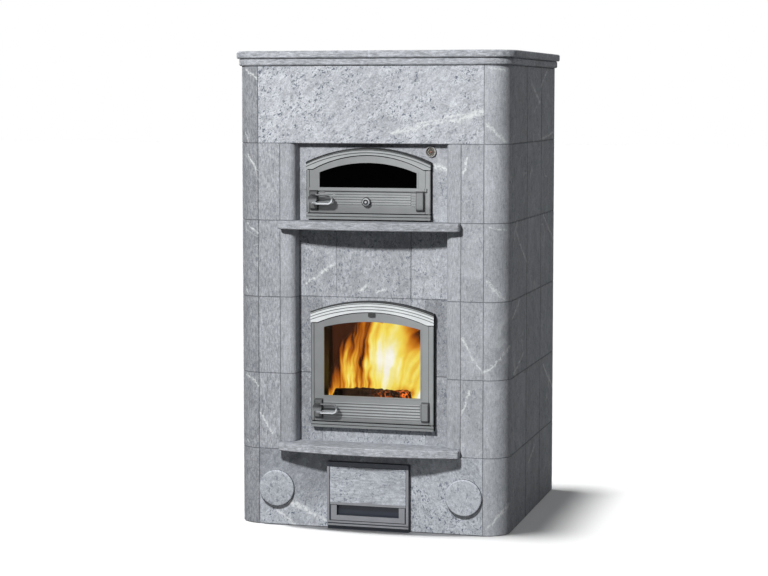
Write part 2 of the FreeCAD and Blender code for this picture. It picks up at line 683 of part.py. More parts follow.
def base_stones():
    """Bottom course beside and over the ash frame, with the two soot ports."""
    half_ash = "(Size.ash_opening_width / 2)"
    width = f"({CORNER} - {half_ash})"
    port = "Size.soot_port_radius"
    port_right = f"{SOOT_X} - {half_ash}"
    port_left = "Size.soot_inset"
    for name, left, port_x in (("right", half_ash, port_right), ("left", f"-{CORNER}", port_left)):
        body = new_body(f"base_stone_{name}", left, INNER_FRONT, "0")
        sketch = new_sketch(body, "XZ_Plane")
        rectangle(sketch, "0", "0", width, "Size.course_height")
        circle(sketch, port_x, "Size.soot_height", port)
        slab = pad(body, sketch, "Size.shell_thickness")
        dress(body, "Chamfer", slab, straight_front_edges(slab), "Size.arris")
        node(body)
    node(facing_stone("ash_lintel_stone", "Size.ash_opening_width", "Size.ash_lintel_height",
                      "Size.shell_thickness", f"-{half_ash}", INNER_FRONT, ASH_OPENING_TOP))


def shelf(label, bottom):
    """Stone shelf across both pilasters, bowed at the front."""
    body = new_body(label, "0", RECESS, bottom)
    sketch = new_sketch(body, "XY_Plane")
    end = "-(Size.recess_depth + Size.shelf_reach)"
    left = f"-{PILASTER_OUT}"
    corners = [(PILASTER_OUT, "0"), (left, "0"), (left, end), (PILASTER_OUT, end)]
    outline(sketch, corners, {2: (1, arch_radius(f"2 * {PILASTER_OUT}", "Size.shelf_bow"))})
    slab = pad(body, sketch, "Size.shelf_thickness")
    back = -value("Size.recess_depth")
    rounded = dress(body, "Fillet", slab,
                    edges_where(slab, lambda edge: upright(edge) and edge.CenterOfMass.y < back),
                    "Size.shelf_corner")
    front = faces_where(rounded, lambda face: face.CenterOfMass.y < back
                        and isinstance(face.Surface, Part.Cylinder))
    dress(body, "Chamfer", rounded, level_edges(rounded, front), "Size.shelf_bevel")
    node(body)


def cornice(label, overhang, bottom, thickness):
    """Top slab with rounded front corners, flush with the heater's back."""
    body = new_body(label, "0", REAR, bottom)
    sketch = new_sketch(body, "XY_Plane")
    half = f"({RIGHT} + {overhang})"
    depth = f"(Size.body_depth + {overhang})"
    corners = [(half, "0"), (f"-{half}", "0"), (f"-{half}", f"-{depth}"), (half, f"-{depth}")]
    outline(sketch, corners)
    slab = pad(body, sketch, thickness)
    middle = -value(depth) / 2
    rounded = dress(body, "Fillet", slab,
                    edges_where(slab, lambda edge: upright(edge) and edge.CenterOfMass.y < middle),
                    f"Size.corner_radius + {overhang}")
    rim = faces_where(rounded, lambda face: face.BoundBox.ZLength > 1e-6 and face.CenterOfMass.y < -1)
    dress(body, "Chamfer", rounded, level_edges(rounded, rim), "Size.cornice_bevel")
    node(body)


def shell_slab(label, bottom, thickness):
    """Slab that fills the shell, notched for the corner stones."""
    body = new_body(label, "0", "0", bottom)
    sketch = new_sketch(body, "XY_Plane")
    notch = f"({FRONT} + Size.corner_radius)"
    outline(sketch, [(INNER_RIGHT, INNER_REAR), (f"-{INNER_RIGHT}", INNER_REAR), (f"-{INNER_RIGHT}", notch),
                     (f"-{CORNER}", notch), (f"-{CORNER}", INNER_FRONT), (CORNER, INNER_FRONT),
                     (CORNER, notch), (INNER_RIGHT, notch)])
    pad(body, sketch, thickness)
    node(body)


def core():
    """Base slab, plinth, firebox, oven and cap inside the shell, from the floor up."""
    half_core = f"({INNER_RIGHT} - Size.side_channel)"
    half_chamber = f"({half_core} - Size.core_wall)"
    core_rear = f"({PANEL_BACK} + Size.core_depth)"
    chamber_rear = f"({core_rear} - Size.core_wall)"
    base_top = "Size.base_thickness"
    plinth_top = course(2)
    shell_slab("base_slab", "0", base_top)

    pit_rear = f"({core_rear} - Size.plinth_rear_thickness)"
    group("plinth_blocks", [
        block("plinth_left", f"-{half_core}", f"-{HALF_PIT}", INNER_FRONT, core_rear, base_top, plinth_top),
        block("plinth_right", HALF_PIT, half_core, INNER_FRONT, core_rear, base_top, plinth_top),
        block("plinth_rear", f"-{HALF_PIT}", HALF_PIT, pit_rear, core_rear, base_top, plinth_top),
    ])

    floor_top = f"({plinth_top} + Size.core_slab)"
    half_grate = "(Size.grate_width / 2)"
    grate_front = f"({PANEL_BACK} + Size.grate_setback)"
    grate_rear = f"({grate_front} + Size.grate_depth)"
    group("firebox_floor_stones", [
        block("floor_front", f"-{half_core}", half_core, PANEL_BACK, grate_front, plinth_top, floor_top),
        block("floor_rear", f"-{half_core}", half_core, grate_rear, core_rear, plinth_top, floor_top),
        block("floor_left", f"-{half_core}", f"-{half_grate}", grate_front, grate_rear,
              plinth_top, floor_top),
        block("floor_right", half_grate, half_core, grate_front, grate_rear, plinth_top, floor_top),
    ])
    grate(grate_front, floor_top)

    throat_bottom = course(4)
    throat_top = f"({throat_bottom} + Size.core_slab)"
    oven_floor_top = f"({course(5)} - Size.oven_floor_drop)"
    oven_floor = f"({oven_floor_top} - Size.core_slab)"
    oven_ceiling = f"({course(6)} - Size.oven_ceiling_drop)"
    ceiling_top = f"({oven_ceiling} + Size.core_slab)"
    slab_rear = f"({chamber_rear} - Size.throat_gap)"
    levels = [("firebox", floor_top, throat_bottom), ("plenum", throat_top, oven_floor),
              ("oven", oven_floor_top, oven_ceiling)]
    side_walls = []
    for name, bottom, top in levels:
        for side, left, right in (("left", f"-{half_core}", f"-{half_chamber}"),
                                  ("right", half_chamber, half_core)):
            side_walls.append(block(f"{name}_wall_{side}", left, right, PANEL_BACK, core_rear, bottom, top))
    group("core_side_walls", side_walls)
    stages = [("firebox", floor_top, throat_top), ("plenum", throat_top, oven_floor_top),
              ("oven", oven_floor_top, oven_ceiling)]
    back_walls = []
    for name, bottom, top in stages:
        back_walls.append(block(f"{name}_back", f"-{half_chamber}", half_chamber,
                                chamber_rear, core_rear, bottom, top))
    group("core_back_walls", back_walls)
    node(block("throat_slab", f"-{half_core}", half_core, PANEL_BACK, slab_rear, throat_bottom, throat_top))
    node(block("oven_floor_slab", f"-{half_core}", half_core, PANEL_BACK, slab_rear,
               oven_floor, oven_floor_top))
    ceiling_front = f"({PANEL_BACK} + Size.crown_gap)"
    node(block("oven_ceiling_slab", f"-{half_core}", half_core, ceiling_front, core_rear,
               oven_ceiling, ceiling_top))
    cap_bottom = f"({SHELL_TOP} - Size.core_slab)"
    inner_bearer = f"({half_core} - Size.bearer_width)"
    group("cap_bearers", [
        block("bearer_left", f"-{half_core}", f"-{inner_bearer}", ceiling_front, core_rear,
              ceiling_top, cap_bottom),
        block("bearer_right", inner_bearer, half_core, ceiling_front, core_rear, ceiling_top, cap_bottom),
    ])
    shell_slab("cap_slab", cap_bottom, "Size.core_slab")


def grate(front, floor_top):
    """Cast grate hung by its lip in the firebox floor."""
    side_gap = "Size.glass_clearance"
    body = new_body("grate", "-Size.grate_width / 2", front, floor_top)
    sketch = new_sketch(body, "XY_Plane")
    rectangle(sketch, side_gap, side_gap, f"Size.grate_width - {side_gap}", f"Size.grate_depth - {side_gap}")
    pad(body, sketch, "Size.grate_thickness", reverse=True)
    lip = new_sketch(body, "XY_Plane")
    rectangle(lip, "-Size.grate_lip", "-Size.grate_lip", "Size.grate_width + Size.grate_lip",
              "Size.grate_depth + Size.grate_lip")
    pad(body, lip, "Size.grate_lip_thickness")
    pitch = "(Size.grate_slot + Size.grate_bar)"
    first = f"(Size.grate_width - Size.grate_slots * {pitch} + Size.grate_bar) / 2"
    slot = new_sketch(body, "XY_Plane", "Size.grate_lip_thickness")
    rectangle(slot, first, "Size.grate_bar", f"{first} + Size.grate_slot",
              "Size.grate_depth - Size.grate_bar")
    cut = pocket(body, slot, "Size.grate_lip_thickness + Size.grate_thickness")
    pattern = body.newObject("PartDesign::LinearPattern", "grate_pattern")
    pattern.Originals = [cut]
    pattern.Direction = (slot, ["H_Axis"])
    pattern.setExpression("Length", f"(Size.grate_slots - 1) * {pitch}")
    pattern.setExpression("Occurrences", "Size.grate_slots")
    body.Tip = pattern
    node(body)


def soot_covers():
    """Round stone covers with plugs that close the soot ports."""
    for name, side in (("right", 1), ("left", -1)):
        body = new_body(f"soot_cover_{name}", f"{side} * {SOOT_X}", FRONT, "Size.soot_height")
        body.Placement.Rotation = Rotation(Vector(1, 0, 0), 90)
        sketch = new_sketch(body, "XZ_Plane")
        seat = "Size.skid_clearance"
        plug = "(Size.soot_port_radius - Size.skid_clearance)"
        face = "Size.soot_face_radius"
        front = f"({seat} + Size.soot_face_thickness)"
        shoulder = f"({front} - Size.soot_face_round)"
        inner = f"({face} - Size.soot_face_round)"
        corners = [("0", "-Size.soot_plug_length"), (plug, "-Size.soot_plug_length"), (plug, seat),
                   (face, seat), (face, shoulder), (inner, front), ("0", front)]
        outline(sketch, corners, {4: (1, "Size.soot_face_round")})
        revolve(body, sketch)
        node(body)


class Door:
    """Sizes and planes that the pieces of one door share, in the frame's own coordinates.

    x runs from the frame's left side, z from its bottom and depths from the stone towards -Y.
    """

    def __init__(self, name, middle, floor, ceiling):
        self.name = name
        self.width = f"(2 * ({PILASTER_IN} - Size.{name}_frame_margin))"
        self.opening = f"({self.width} - 2 * Size.{name}_bearing)"
        self.window = f"({self.width} - 2 * Size.{name}_stile)"
        self.rise = f"Size.{name}_frame_rise"
        self.bottom = f"({floor} + Size.{name}_frame_lift)"
        self.height = f"({ceiling} - Size.{name}_frame_head - {self.bottom})"
        self.spring = f"({self.height} - {self.rise})"
        self.band = f"Size.{name}_band"
        self.ridges = int(value(f"Size.{name}_ridges"))
        self.ribs = int(value(f"Size.{name}_ribs"))
        self.left = f"({middle} - {self.width} / 2)"
        self.band_foot = f"({self.spring} - {self.band})"
        self.inner_chord = f"({self.width} - 2 * Size.band_foot)"
        self.inner_radius = arch_radius(self.inner_chord, self.rise)
        self.leaf_bottom = "(Size.frame_rail + Size.leaf_end_gap)"
        self.leaf_top = f"({self.band_foot} - Size.leaf_end_gap)"
        self.leaf_left = "Size.leaf_side_gap"
        self.leaf_right = f"({self.width} - Size.leaf_side_gap)"
        self.leaf_back = "(Size.frame_flange + Size.leaf_back_gap)"
        self.leaf_front = f"({self.leaf_back} + Size.leaf_thickness)"
        self.hinge_x = f"({self.leaf_right} - Size.leaf_thickness / 2)"
        self.hinge_depth = f"({self.leaf_back} + Size.leaf_thickness / 2 + Size.hinge_forward)"
        self.window_left = f"Size.{name}_stile"
        self.window_right = f"({self.width} - {self.window_left})"
        self.window_bottom = f"Size.{name}_window_bottom"
        self.window_rise = f"Size.{name}_window_rise"
        self.window_spring = f"({self.height} - Size.{name}_window_head - {self.window_rise})"
        self.window_arch = arch_radius(self.window, self.window_rise)
        self.block_front = f"({self.leaf_front} + Size.block_proud)"
        self.left_strip = f"({self.leaf_left} + Size.leaf_strip)"
        self.right_strip = f"({self.leaf_right} - Size.leaf_arris - Size.leaf_strip)"
        self.rib_first = f"Size.{name}_rib_first"
        self.rib_pitch = f"((Size.{name}_rib_top - {self.rib_first}) / {self.ribs - 1})"
        self.rib_height = f"Size.{name}_rib_height"
        self.rib_inset = f"Size.{name}_rib_inset"

    def body(self, piece):
        return new_body(f"{self.name}_{piece}", self.left, RECESS, self.bottom)

    def window_outline(self, sketch, margin="0"):
        """Window grown by a margin; the arch keeps its centre."""
        half = f"({self.window} / 2 + {margin})"
        radius = f"({self.window_arch} + {margin})"
        centre = f"({self.window_spring} + {self.window_rise} - {self.window_arch})"
        spring = f"({centre} + sqrt(({radius})^2 - ({half})^2))"
        left = f"({self.window_left} - ({margin}))"
        right = f"({self.window_right} + {margin})"
        bottom = f"({self.window_bottom} - ({margin}))"
        corners = [(left, bottom), (right, bottom), (right, spring), (left, spring)]
        outline(sketch, corners, {2: (1, radius)})


def door_frame(door, sleeve_width, sleeve_bottom, sleeve_spring, sleeve_rise):
    """Cast frame: flange, arch band with ridges, bottom rail and a sleeve into the opening."""
    body = door.body("door_frame")
    left = f"(({door.width} - {sleeve_width}) / 2)"
    right = f"({door.width} - {left})"
    wall = "Size.sleeve_wall"
    inner = (f"{left} + {wall}", f"{sleeve_bottom} + {wall}", f"{right} - {wall}",
             sleeve_spring, sleeve_rise)

    flange = new_sketch(body, "XZ_Plane")
    arched(flange, "0", "0", door.width, door.spring, door.rise)
    arched(flange, *inner)
    pad(body, flange, "Size.frame_flange")
    sleeve = new_sketch(body, "XZ_Plane")
    arched(sleeve, left, sleeve_bottom, right, sleeve_spring, f"{sleeve_rise} + {wall}")
    arched(sleeve, *inner)
    pad(body, sleeve, "Size.sleeve_depth", reverse=True)

    band = new_sketch(body, "XZ_Plane")
    corners = [("0", door.band_foot), ("Size.band_foot", door.band_foot),
               (f"{door.width} - Size.band_foot", door.band_foot), (door.width, door.band_foot),
               (door.width, door.spring), ("0", door.spring)]
    outer_radius = arch_radius(door.width, door.rise)
    outline(band, corners, {1: (-1, door.inner_radius), 4: (1, outer_radius)})
    pad(body, band, "Size.frame_proud")
    rail = new_sketch(body, "XZ_Plane")
    rectangle(rail, "0", "0", door.width, "Size.frame_rail")
    pad(body, rail, "Size.frame_proud")

    grooves = new_sketch(body, "XZ_Plane", "Size.frame_proud")
    pitch = f"({door.band} + Size.frame_groove) / {door.ridges}"
    for step in range(1, door.ridges):
        top = f"({door.spring} - {step} * {pitch} + Size.frame_groove)"
        low = f"({top} - Size.frame_groove)"
        sides = [("0", low), (door.width, low), (door.width, top), ("0", top)]
        outline(grooves, sides, {0: (-1, outer_radius), 2: (1, outer_radius)})
    rail_groove = "(Size.frame_rail - Size.frame_groove) / 2"
    rectangle(grooves, "0", rail_groove, door.width, f"{rail_groove} + Size.frame_groove")
    pocket(body, grooves, "Size.frame_groove")

    hole = "Size.pin_radius + Size.pin_clearance"
    low_seat = new_sketch(body, "XY_Plane", "Size.frame_rail")
    circle(low_seat, door.hinge_x, f"-{door.hinge_depth}", hole)
    pocket(body, low_seat, "Size.pin_seat")
    high_seat = new_sketch(body, "XY_Plane", door.band_foot)
    circle(high_seat, door.hinge_x, f"-{door.hinge_depth}", hole)
    pocket(body, high_seat, "Size.pin_seat", reverse=True)
    return node(body)


def door_leaf(door, shafts, trim):
    """Cast leaf: window with a glass rebate, ribs, end blocks, hinge edge and the door's own trim."""
    body = door.body("door_leaf")
    plate = new_sketch(body, "XZ_Plane", door.leaf_back)
    corners = [(door.leaf_left, door.leaf_bottom), (door.leaf_right, door.leaf_bottom),
               (door.leaf_right, door.leaf_top), (f"{door.width} - Size.band_foot", door.leaf_top),
               ("Size.band_foot", door.leaf_top), (door.leaf_left, door.leaf_top)]
    outline(plate, corners, {3: (1, door.inner_radius)})
    door.window_outline(plate)
    slab = pad(body, plate, "Size.leaf_thickness")
    edge_x = value(door.leaf_right)
    back_y = -value(door.leaf_back)

    def hinge_edge(edge, at_back):
        point = edge.CenterOfMass
        return upright(edge) and abs(point.x - edge_x) < 1e-6 and (point.y > back_y - 1e-6) == at_back

    back_edge = edges_where(slab, lambda edge: hinge_edge(edge, True))
    rounded = dress(body, "Fillet", slab, back_edge, "Size.leaf_round")
    front_edge = edges_where(rounded, lambda edge: hinge_edge(edge, False))
    dress(body, "Fillet", rounded, front_edge, "Size.leaf_arris")

    rebate = new_sketch(body, "XZ_Plane", door.leaf_back)
    door.window_outline(rebate, "Size.glass_rebate")
    pocket(body, rebate, "Size.glass_thickness + Size.retainer_thickness", reverse=True)
    groove = new_sketch(body, "XZ_Plane", door.leaf_back)
    door.window_outline(groove, f"({ROPE_INSET} + Size.rope_width)")
    door.window_outline(groove, ROPE_INSET)
    pocket(body, groove, "Size.rope_depth", reverse=True)

    bead = new_sketch(body, "XZ_Plane", door.leaf_front)
    door.window_outline(bead, "Size.window_bead")
    door.window_outline(bead)
    pad(body, bead, "Size.leaf_bead")
    strips = new_sketch(body, "XZ_Plane", door.leaf_front)
    rectangle(strips, door.leaf_left, door.leaf_bottom, door.left_strip, door.leaf_top)
    strip_end = f"({door.leaf_right} - Size.leaf_arris)"
    rectangle(strips, door.right_strip, door.leaf_bottom, strip_end, door.leaf_top)
    pad(body, strips, "Size.leaf_bead")

    ribs = new_sketch(body, "XZ_Plane", door.leaf_front)
    for step in range(door.ribs):
        low = f"({door.rib_first} + {step} * {door.rib_pitch} - {door.rib_height} / 2)"
        rectangle(ribs, door.rib_inset, low, f"{door.width} - {door.rib_inset}",
                  f"{low} + {door.rib_height}")
    pad(body, ribs, "Size.rib_proud")
    trim(body, door)
    blocks = new_sketch(body, "XZ_Plane", door.leaf_front)
    block_top = "(Size.block_bottom + Size.block_height)"
    near = "(Size.block_inset + Size.block_width)"
    rectangle(blocks, "Size.block_inset", "Size.block_bottom", near, block_top)
    far = f"({door.width} - Size.{door.name}_block_right)"
    rectangle(blocks, f"{far} - Size.block_width", "Size.block_bottom", far, block_top)
    ends = pad(body, blocks, "Size.block_proud")
    dress(body, "Chamfer", ends, level_edges(ends, faces_where(ends, at_front(ends))), "Size.block_bevel")

    pins = "Size.pin_radius + Size.pin_clearance"
    low_pin = new_sketch(body, "XY_Plane", door.leaf_bottom)
    circle(low_pin, door.hinge_x, f"-{door.hinge_depth}", pins)
    pocket(body, low_pin, "Size.pin_reach", reverse=True)
    high_pin = new_sketch(body, "XY_Plane", door.leaf_top)
    circle(high_pin, door.hinge_x, f"-{door.hinge_depth}", pins)
    pocket(body, high_pin, "Size.pin_reach")
    holes = new_sketch(body, "XZ_Plane", door.block_front)
    for x, z, radius in shafts:
        circle(holes, x, z, f"{radius} + Size.pin_clearance")
    pocket(body, holes, f"{door.block_front} - {door.leaf_back}")
    return node(body)


def oven_trim(body, door):
    """Bar under the oven window, and short ribs set half a pitch off at both ends of the ribs."""
    bar = new_sketch(body, "XZ_Plane", door.leaf_front)
    bar_top = "(Size.sill_bar_bottom + Size.sill_bar_height)"
    rectangle(bar, door.left_strip, "Size.sill_bar_bottom", door.right_strip, bar_top)
    pad(body, bar, "Size.sill_bar_proud")
    ends = new_sketch(body, "XZ_Plane", door.leaf_front)
    near = "Size.oven_rib_end_inset"
    inner = f"({near} + Size.oven_rib_end)"
    for step in range(door.ribs + 1):
        low = f"({door.rib_first} + {step - 0.5} * {door.rib_pitch} - Size.oven_rib_end_height / 2)"
        top = f"({low} + Size.oven_rib_end_height)"
        rectangle(ends, near, low, inner, top)
        rectangle(ends, f"{door.width} - {inner}", low, f"{door.width} - {near}", top)
    pad(body, ends, "Size.rib_proud")


def firebox_trim(body, door):
    """Small lug at the crown of the leaf, under the band."""
    lug = new_sketch(body, "XZ_Plane", door.leaf_front)
    left = f"(({door.width} - Size.lug_width) / 2)"
    top = f"({door.leaf_top} + {door.rise} - Size.lug_drop)"
    rectangle(lug, left, f"{top} - Size.lug_height", f"{left} + Size.lug_width", top)
    pad(body, lug, "Size.lug_proud")


def door_glazing(door):
    """Glass, its retaining ring and the sealing rope on the leaf's back."""
    ring_front = f"({door.leaf_back} + Size.retainer_thickness)"
    size = "(Size.glass_rebate - Size.glass_clearance)"
    glass = door.body("door_glass")
    pane = new_sketch(glass, "XZ_Plane", ring_front)
    door.window_outline(pane, size)
    pad(glass, pane, "Size.glass_thickness")
    node(glass)
    retainer = door.body("glass_retainer")
    ring = new_sketch(retainer, "XZ_Plane", door.leaf_back)
    door.window_outline(ring, "Size.glass_rebate")
    door.window_outline(ring, "(Size.glass_rebate - Size.retainer_width)")
    pad(retainer, ring, "Size.retainer_thickness")
    node(retainer)
    rope = door.body("door_rope")
    loop = new_sketch(rope, "XZ_Plane", "Size.frame_flange + Size.rope_clearance")
    door.window_outline(loop, f"({ROPE_INSET} + Size.rope_width)")
    door.window_outline(loop, ROPE_INSET)
    pad(rope, loop, "Size.leaf_back_gap - Size.rope_clearance + Size.rope_depth")
    node(rope)


def hinge_pins(door):
    """Two upright pins between the frame and the leaf's hinge edge."""
    length = "Size.pin_seat + Size.leaf_end_gap + Size.pin_reach"
    starts = [("low", "(Size.frame_rail - Size.pin_seat)"),
              ("high", f"({door.leaf_top} - Size.pin_reach)")]
    pins = []
    for name, start in starts:
        pin = doc.addObject("Part::Cylinder", f"{door.name}_pin_{name}")
        pin.setExpression("Radius", "Size.pin_radius")
        pin.setExpression("Height", length)
        pins.append(place(pin, f"{door.left} + {door.hinge_x}", f"{RECESS} - {door.hinge_depth}",
                          f"{door.bottom} + {start}"))
    group(f"{door.name}_hinge_pins", pins)


def loop_handle(door):
    """Flared strip bent to a hairpin, on a hub and a shaft through the leaf."""
    body = door.body("handle")
    x = "Size.handle_inset"
    z = "Size.handle_height"
    hub_back = f"({door.block_front} + Size.handle_clearance)"
    shaft = new_sketch(body, "XZ_Plane", door.leaf_back)
    circle(shaft, x, z, "Size.shaft_radius")
    pad(body, shaft, f"{hub_back} - {door.leaf_back}")
    hub = new_sketch(body, "XZ_Plane", hub_back)
    circle(hub, x, z, "Size.hub_radius")
    pad(body, hub, "Size.hub_thickness")

    back = f"({hub_back} + Size.handle_lift)"
    front = f"({back} + Size.handle_depth)"
    bend = "(Size.handle_gap / 2)"
    end = f"({x} + Size.handle_length)"
    path = new_sketch(body, "XZ_Plane", back)
    corners = [(x, f"{z} - {bend}"), (end, f"{z} - {bend}"), (end, f"{z} + {bend}"), (x, f"{z} + {bend}")]
    outline(path, corners, {1: (1, None)}, closed=False)
    section = new_sketch(body, "YZ_Plane", x)
    leg = f"({z} - {bend})"
    thick = "Size.handle_strip / 2"
    flare = "Size.handle_flare"
    corners = [(f"-{front}", f"{leg} - {thick} - {flare}"), (f"-{back}", f"{leg} - {thick}"),
               (f"-{back}", f"{leg} + {thick}"), (f"-{front}", f"{leg} + {thick} - {flare}")]
    outline(section, corners)
    loop = body.newObject("PartDesign::AdditivePipe", f"{body.Name}_loop")
    loop.Profile = section
    loop.Spine = (path, ["Edge1", "Edge2", "Edge3"])
    loop.Mode = "Standard"
    node(body)


def air_knob(door):
    """Round knob with a hollow face, on a shaft through the oven door's leaf."""
    middle = f"{door.left} + {door.width} / 2"
    body = new_body("oven_air_knob", f"{middle} - Size.knob_shift", RECESS,
                    f"{door.bottom} + Size.knob_height")
    body.Placement.Rotation = Rotation(Vector(1, 0, 0), 90)
    sketch = new_sketch(body, "XZ_Plane")
    shaft = "Size.knob_shaft"
    back = f"({door.leaf_front} + Size.rib_proud + Size.knob_clearance)"
    front = f"({back} + Size.knob_thickness)"
    floor = f"({front} - Size.knob_hollow_depth)"
    corners = [("0", door.leaf_back), (shaft, door.leaf_back), (shaft, back), ("Size.knob_radius", back),
               ("Size.knob_radius", floor), ("Size.knob_hollow", front), ("Size.knob_hollow", floor),
               ("Size.knob_button", floor), ("Size.knob_button", front), ("0", front)]
    outline(sketch, corners)
    revolve(body, sketch)
    node(body)


def doors(oven, firebox):
    gap = "Size.sleeve_clearance"
    oven_crown = f"({oven.height} - Size.oven_opening_head - {gap})"
    door_frame(oven, f"({oven.opening} - 2 * {gap})", f"(Size.oven_opening_lift + {gap})",
               f"({oven_crown} - Size.oven_opening_rise)", "(Size.oven_opening_rise - Size.sleeve_wall)")
    firebox_crown = f"({course(4)} - Size.firebox_lintel_height - {gap} - {firebox.bottom})"
    door_frame(firebox, f"({firebox.opening} - 2 * {gap})", f"(Size.firebox_opening_lift + {gap})",
               f"({firebox_crown} - Size.firebox_opening_rise - Size.sleeve_wall)",
               "Size.firebox_opening_rise")
    handle_hole = ("Size.handle_inset", "Size.handle_height", "Size.shaft_radius")
    knob_hole = (f"({oven.width} / 2 - Size.knob_shift)", "Size.knob_height", "Size.knob_shaft")
    door_leaf(oven, [handle_hole, knob_hole], oven_trim)
    door_leaf(firebox, [handle_hole], firebox_trim)
    for door in (oven, firebox):
        door_glazing(door)
        hinge_pins(door)
        loop_handle(door)
    air_knob(oven)


def thermometer():
    """Round dial on the oven's surround stone: case with its stem, needle and lens."""
    case = new_body("thermometer_case", DIAL_X, RECESS, DIAL_Z)
    case.Placement.Rotation = Rotation(Vector(1, 0, 0), 90)
    sketch = new_sketch(case, "XZ_Plane")
    bore = "(Size.dial_radius - Size.dial_rim)"
    post = "(Size.dial_back + Size.dial_post)"
    corners = [("0", "-Size.dial_stem_length"), ("Size.dial_stem", "-Size.dial_stem_length"),
               ("Size.dial_stem", "0"), ("Size.dial_radius", "0"), ("Size.dial_radius", "Size.dial_depth"),
               (bore, "Size.dial_depth"), (bore, "Size.dial_back"),
               ("Size.dial_post_radius", "Size.dial_back"), ("Size.dial_post_radius", post), ("0", post)]
    outline(sketch, corners)
    revolve(case, sketch)
    node(case)

    needle = new_body("thermometer_needle", DIAL_X, RECESS, DIAL_Z)
    start = "(Size.dial_back + Size.needle_seat)"
    hand = new_sketch(needle, "XZ_Plane", start)
    half = "(Size.needle_width / 2)"
    tail = "-Size.needle_tail"
    outline(hand, [(tail, f"-{half}"), ("Size.needle_length", "0"), (tail, half)])
    pad(needle, hand, "Size.needle_thickness")
    hub = new_sketch(needle, "XZ_Plane", start)
    circle(hub, "0", "0", "Size.needle_hub")
    pad(needle, hub, "Size.needle_thickness")
    hole = new_sketch(needle, "XZ_Plane", f"{start} + Size.needle_thickness")
    circle(hole, "0", "0", "Size.dial_post_radius + Size.pin_clearance")
    pocket(needle, hole, "Size.needle_thickness")
    node(needle)

    lens = doc.addObject("Part::Cylinder", "thermometer_lens")
    lens.Label = "thermometer_lens"
    lens.Placement = Placement(Vector(), Rotation(Vector(1, 0, 0), 90))
    lens.setExpression("Radius", f"{bore} - Size.pin_clearance")
    lens.setExpression("Height", "Size.lens_thickness")
    place(lens, DIAL_X, f"{RECESS} - Size.dial_depth + Size.lens_setback + Size.lens_thickness", DIAL_Z)
    node(lens)


def ash_unit():
    """Ash frame, stone-faced ash drawer on its runners and the air slide under it."""
    frame = new_body("ash_frame", f"-{ASH_FRAME_WIDTH} / 2", FRONT, "Size.ash_frame_bottom")
    side = "(Size.ash_frame_cover + Size.sleeve_clearance)"
    wall = "Size.ash_sleeve_wall"
    width = ASH_FRAME_WIDTH
    low = f"(Size.ash_bottom_rail - {wall})"
    high = f"({ASH_OPENING_TOP} - Size.ash_frame_bottom - Size.glass_clearance)"
    inner = (f"{side} + {wall}", f"{low} + {wall}", f"{width} - ({side}) - {wall}", f"{high} - {wall}")
    flange = new_sketch(frame, "XZ_Plane")
    rectangle(flange, "0", "0", width, ASH_FRAME_HEIGHT)
    rectangle(flange, *inner)
    pad(frame, flange, "Size.ash_flange")
    sleeve = new_sketch(frame, "XZ_Plane")
    rectangle(sleeve, side, low, f"{width} - ({side})", high)
    rectangle(sleeve, *inner)
    pad(frame, sleeve, "Size.shell_thickness", reverse=True)
    border = new_sketch(frame, "XZ_Plane")
    rectangle(border, "0", "0", width, ASH_FRAME_HEIGHT)
    rectangle(border, "Size.ash_post", "Size.ash_bottom_rail", f"{width} - Size.ash_post",
              f"{ASH_FRAME_HEIGHT} - Size.ash_top_rail")
    pad(frame, border, "Size.ash_frame_proud")
    groove = new_sketch(frame, "XZ_Plane", "Size.ash_frame_proud")
    groove_low = "(Size.ash_bottom_rail - Size.ash_rail_groove) / 2"
    rectangle(groove, "0", groove_low, width, f"{groove_low} + Size.ash_rail_groove")
    pocket(frame, groove, "Size.ash_rail_groove")
    foot = new_sketch(frame, "XZ_Plane")
    rectangle(foot, "0", "-Size.ash_frame_bottom", width, "0")
    pad(frame, foot, "Size.ash_frame_proud - Size.ash_foot_setback")
    node(frame)

    front_half = f"({ASH_FRAME_WIDTH} / 2 - Size.ash_post - Size.ash_gap)"
    slide_bottom = "(Size.ash_frame_bottom + Size.ash_bottom_rail + Size.ash_gap)"
    back = "(Size.ash_flange + Size.ash_back_gap)"
    air_slide(front_half, slide_bottom, back)
    ash_drawer(front_half, f"({slide_bottom} + Size.air_slide_height + Size.ash_gap)", back)


def air_slide(front_half, bottom, back):
    """Shallow slide with a hand recess, on two skids along the sleeve's floor."""
    slide = new_body("air_slide", f"-{front_half}", FRONT, bottom)
    front = new_sketch(slide, "XZ_Plane", back)
    rectangle(front, "0", "0", f"2 * {front_half}", "Size.air_slide_height")
    pad(slide, front, "Size.air_slide_front")
    hollow = new_sketch(slide, "XZ_Plane", f"{back} + Size.air_slide_front")
    rectangle(hollow, "Size.air_slide_leg", "Size.air_slide_bar",
              f"2 * {front_half} - Size.air_slide_leg", "Size.air_slide_height")
    pocket(slide, hollow, "Size.air_slide_hollow")
    skids = new_sketch(slide, "XZ_Plane", back)
    sleeve_floor = "(Size.ash_frame_bottom + Size.ash_bottom_rail)"
    skid_low = f"({sleeve_floor} + Size.skid_clearance - {bottom})"
    for side in (-1, 1):
        left = f"({front_half} + {side} * Size.air_skid_spacing / 2 - Size.air_skid_width / 2)"
        rectangle(skids, left, skid_low, f"{left} + Size.air_skid_width", "Size.air_slide_bar")
    pad(slide, skids, "Size.air_skid_depth", reverse=True)
    node(slide)


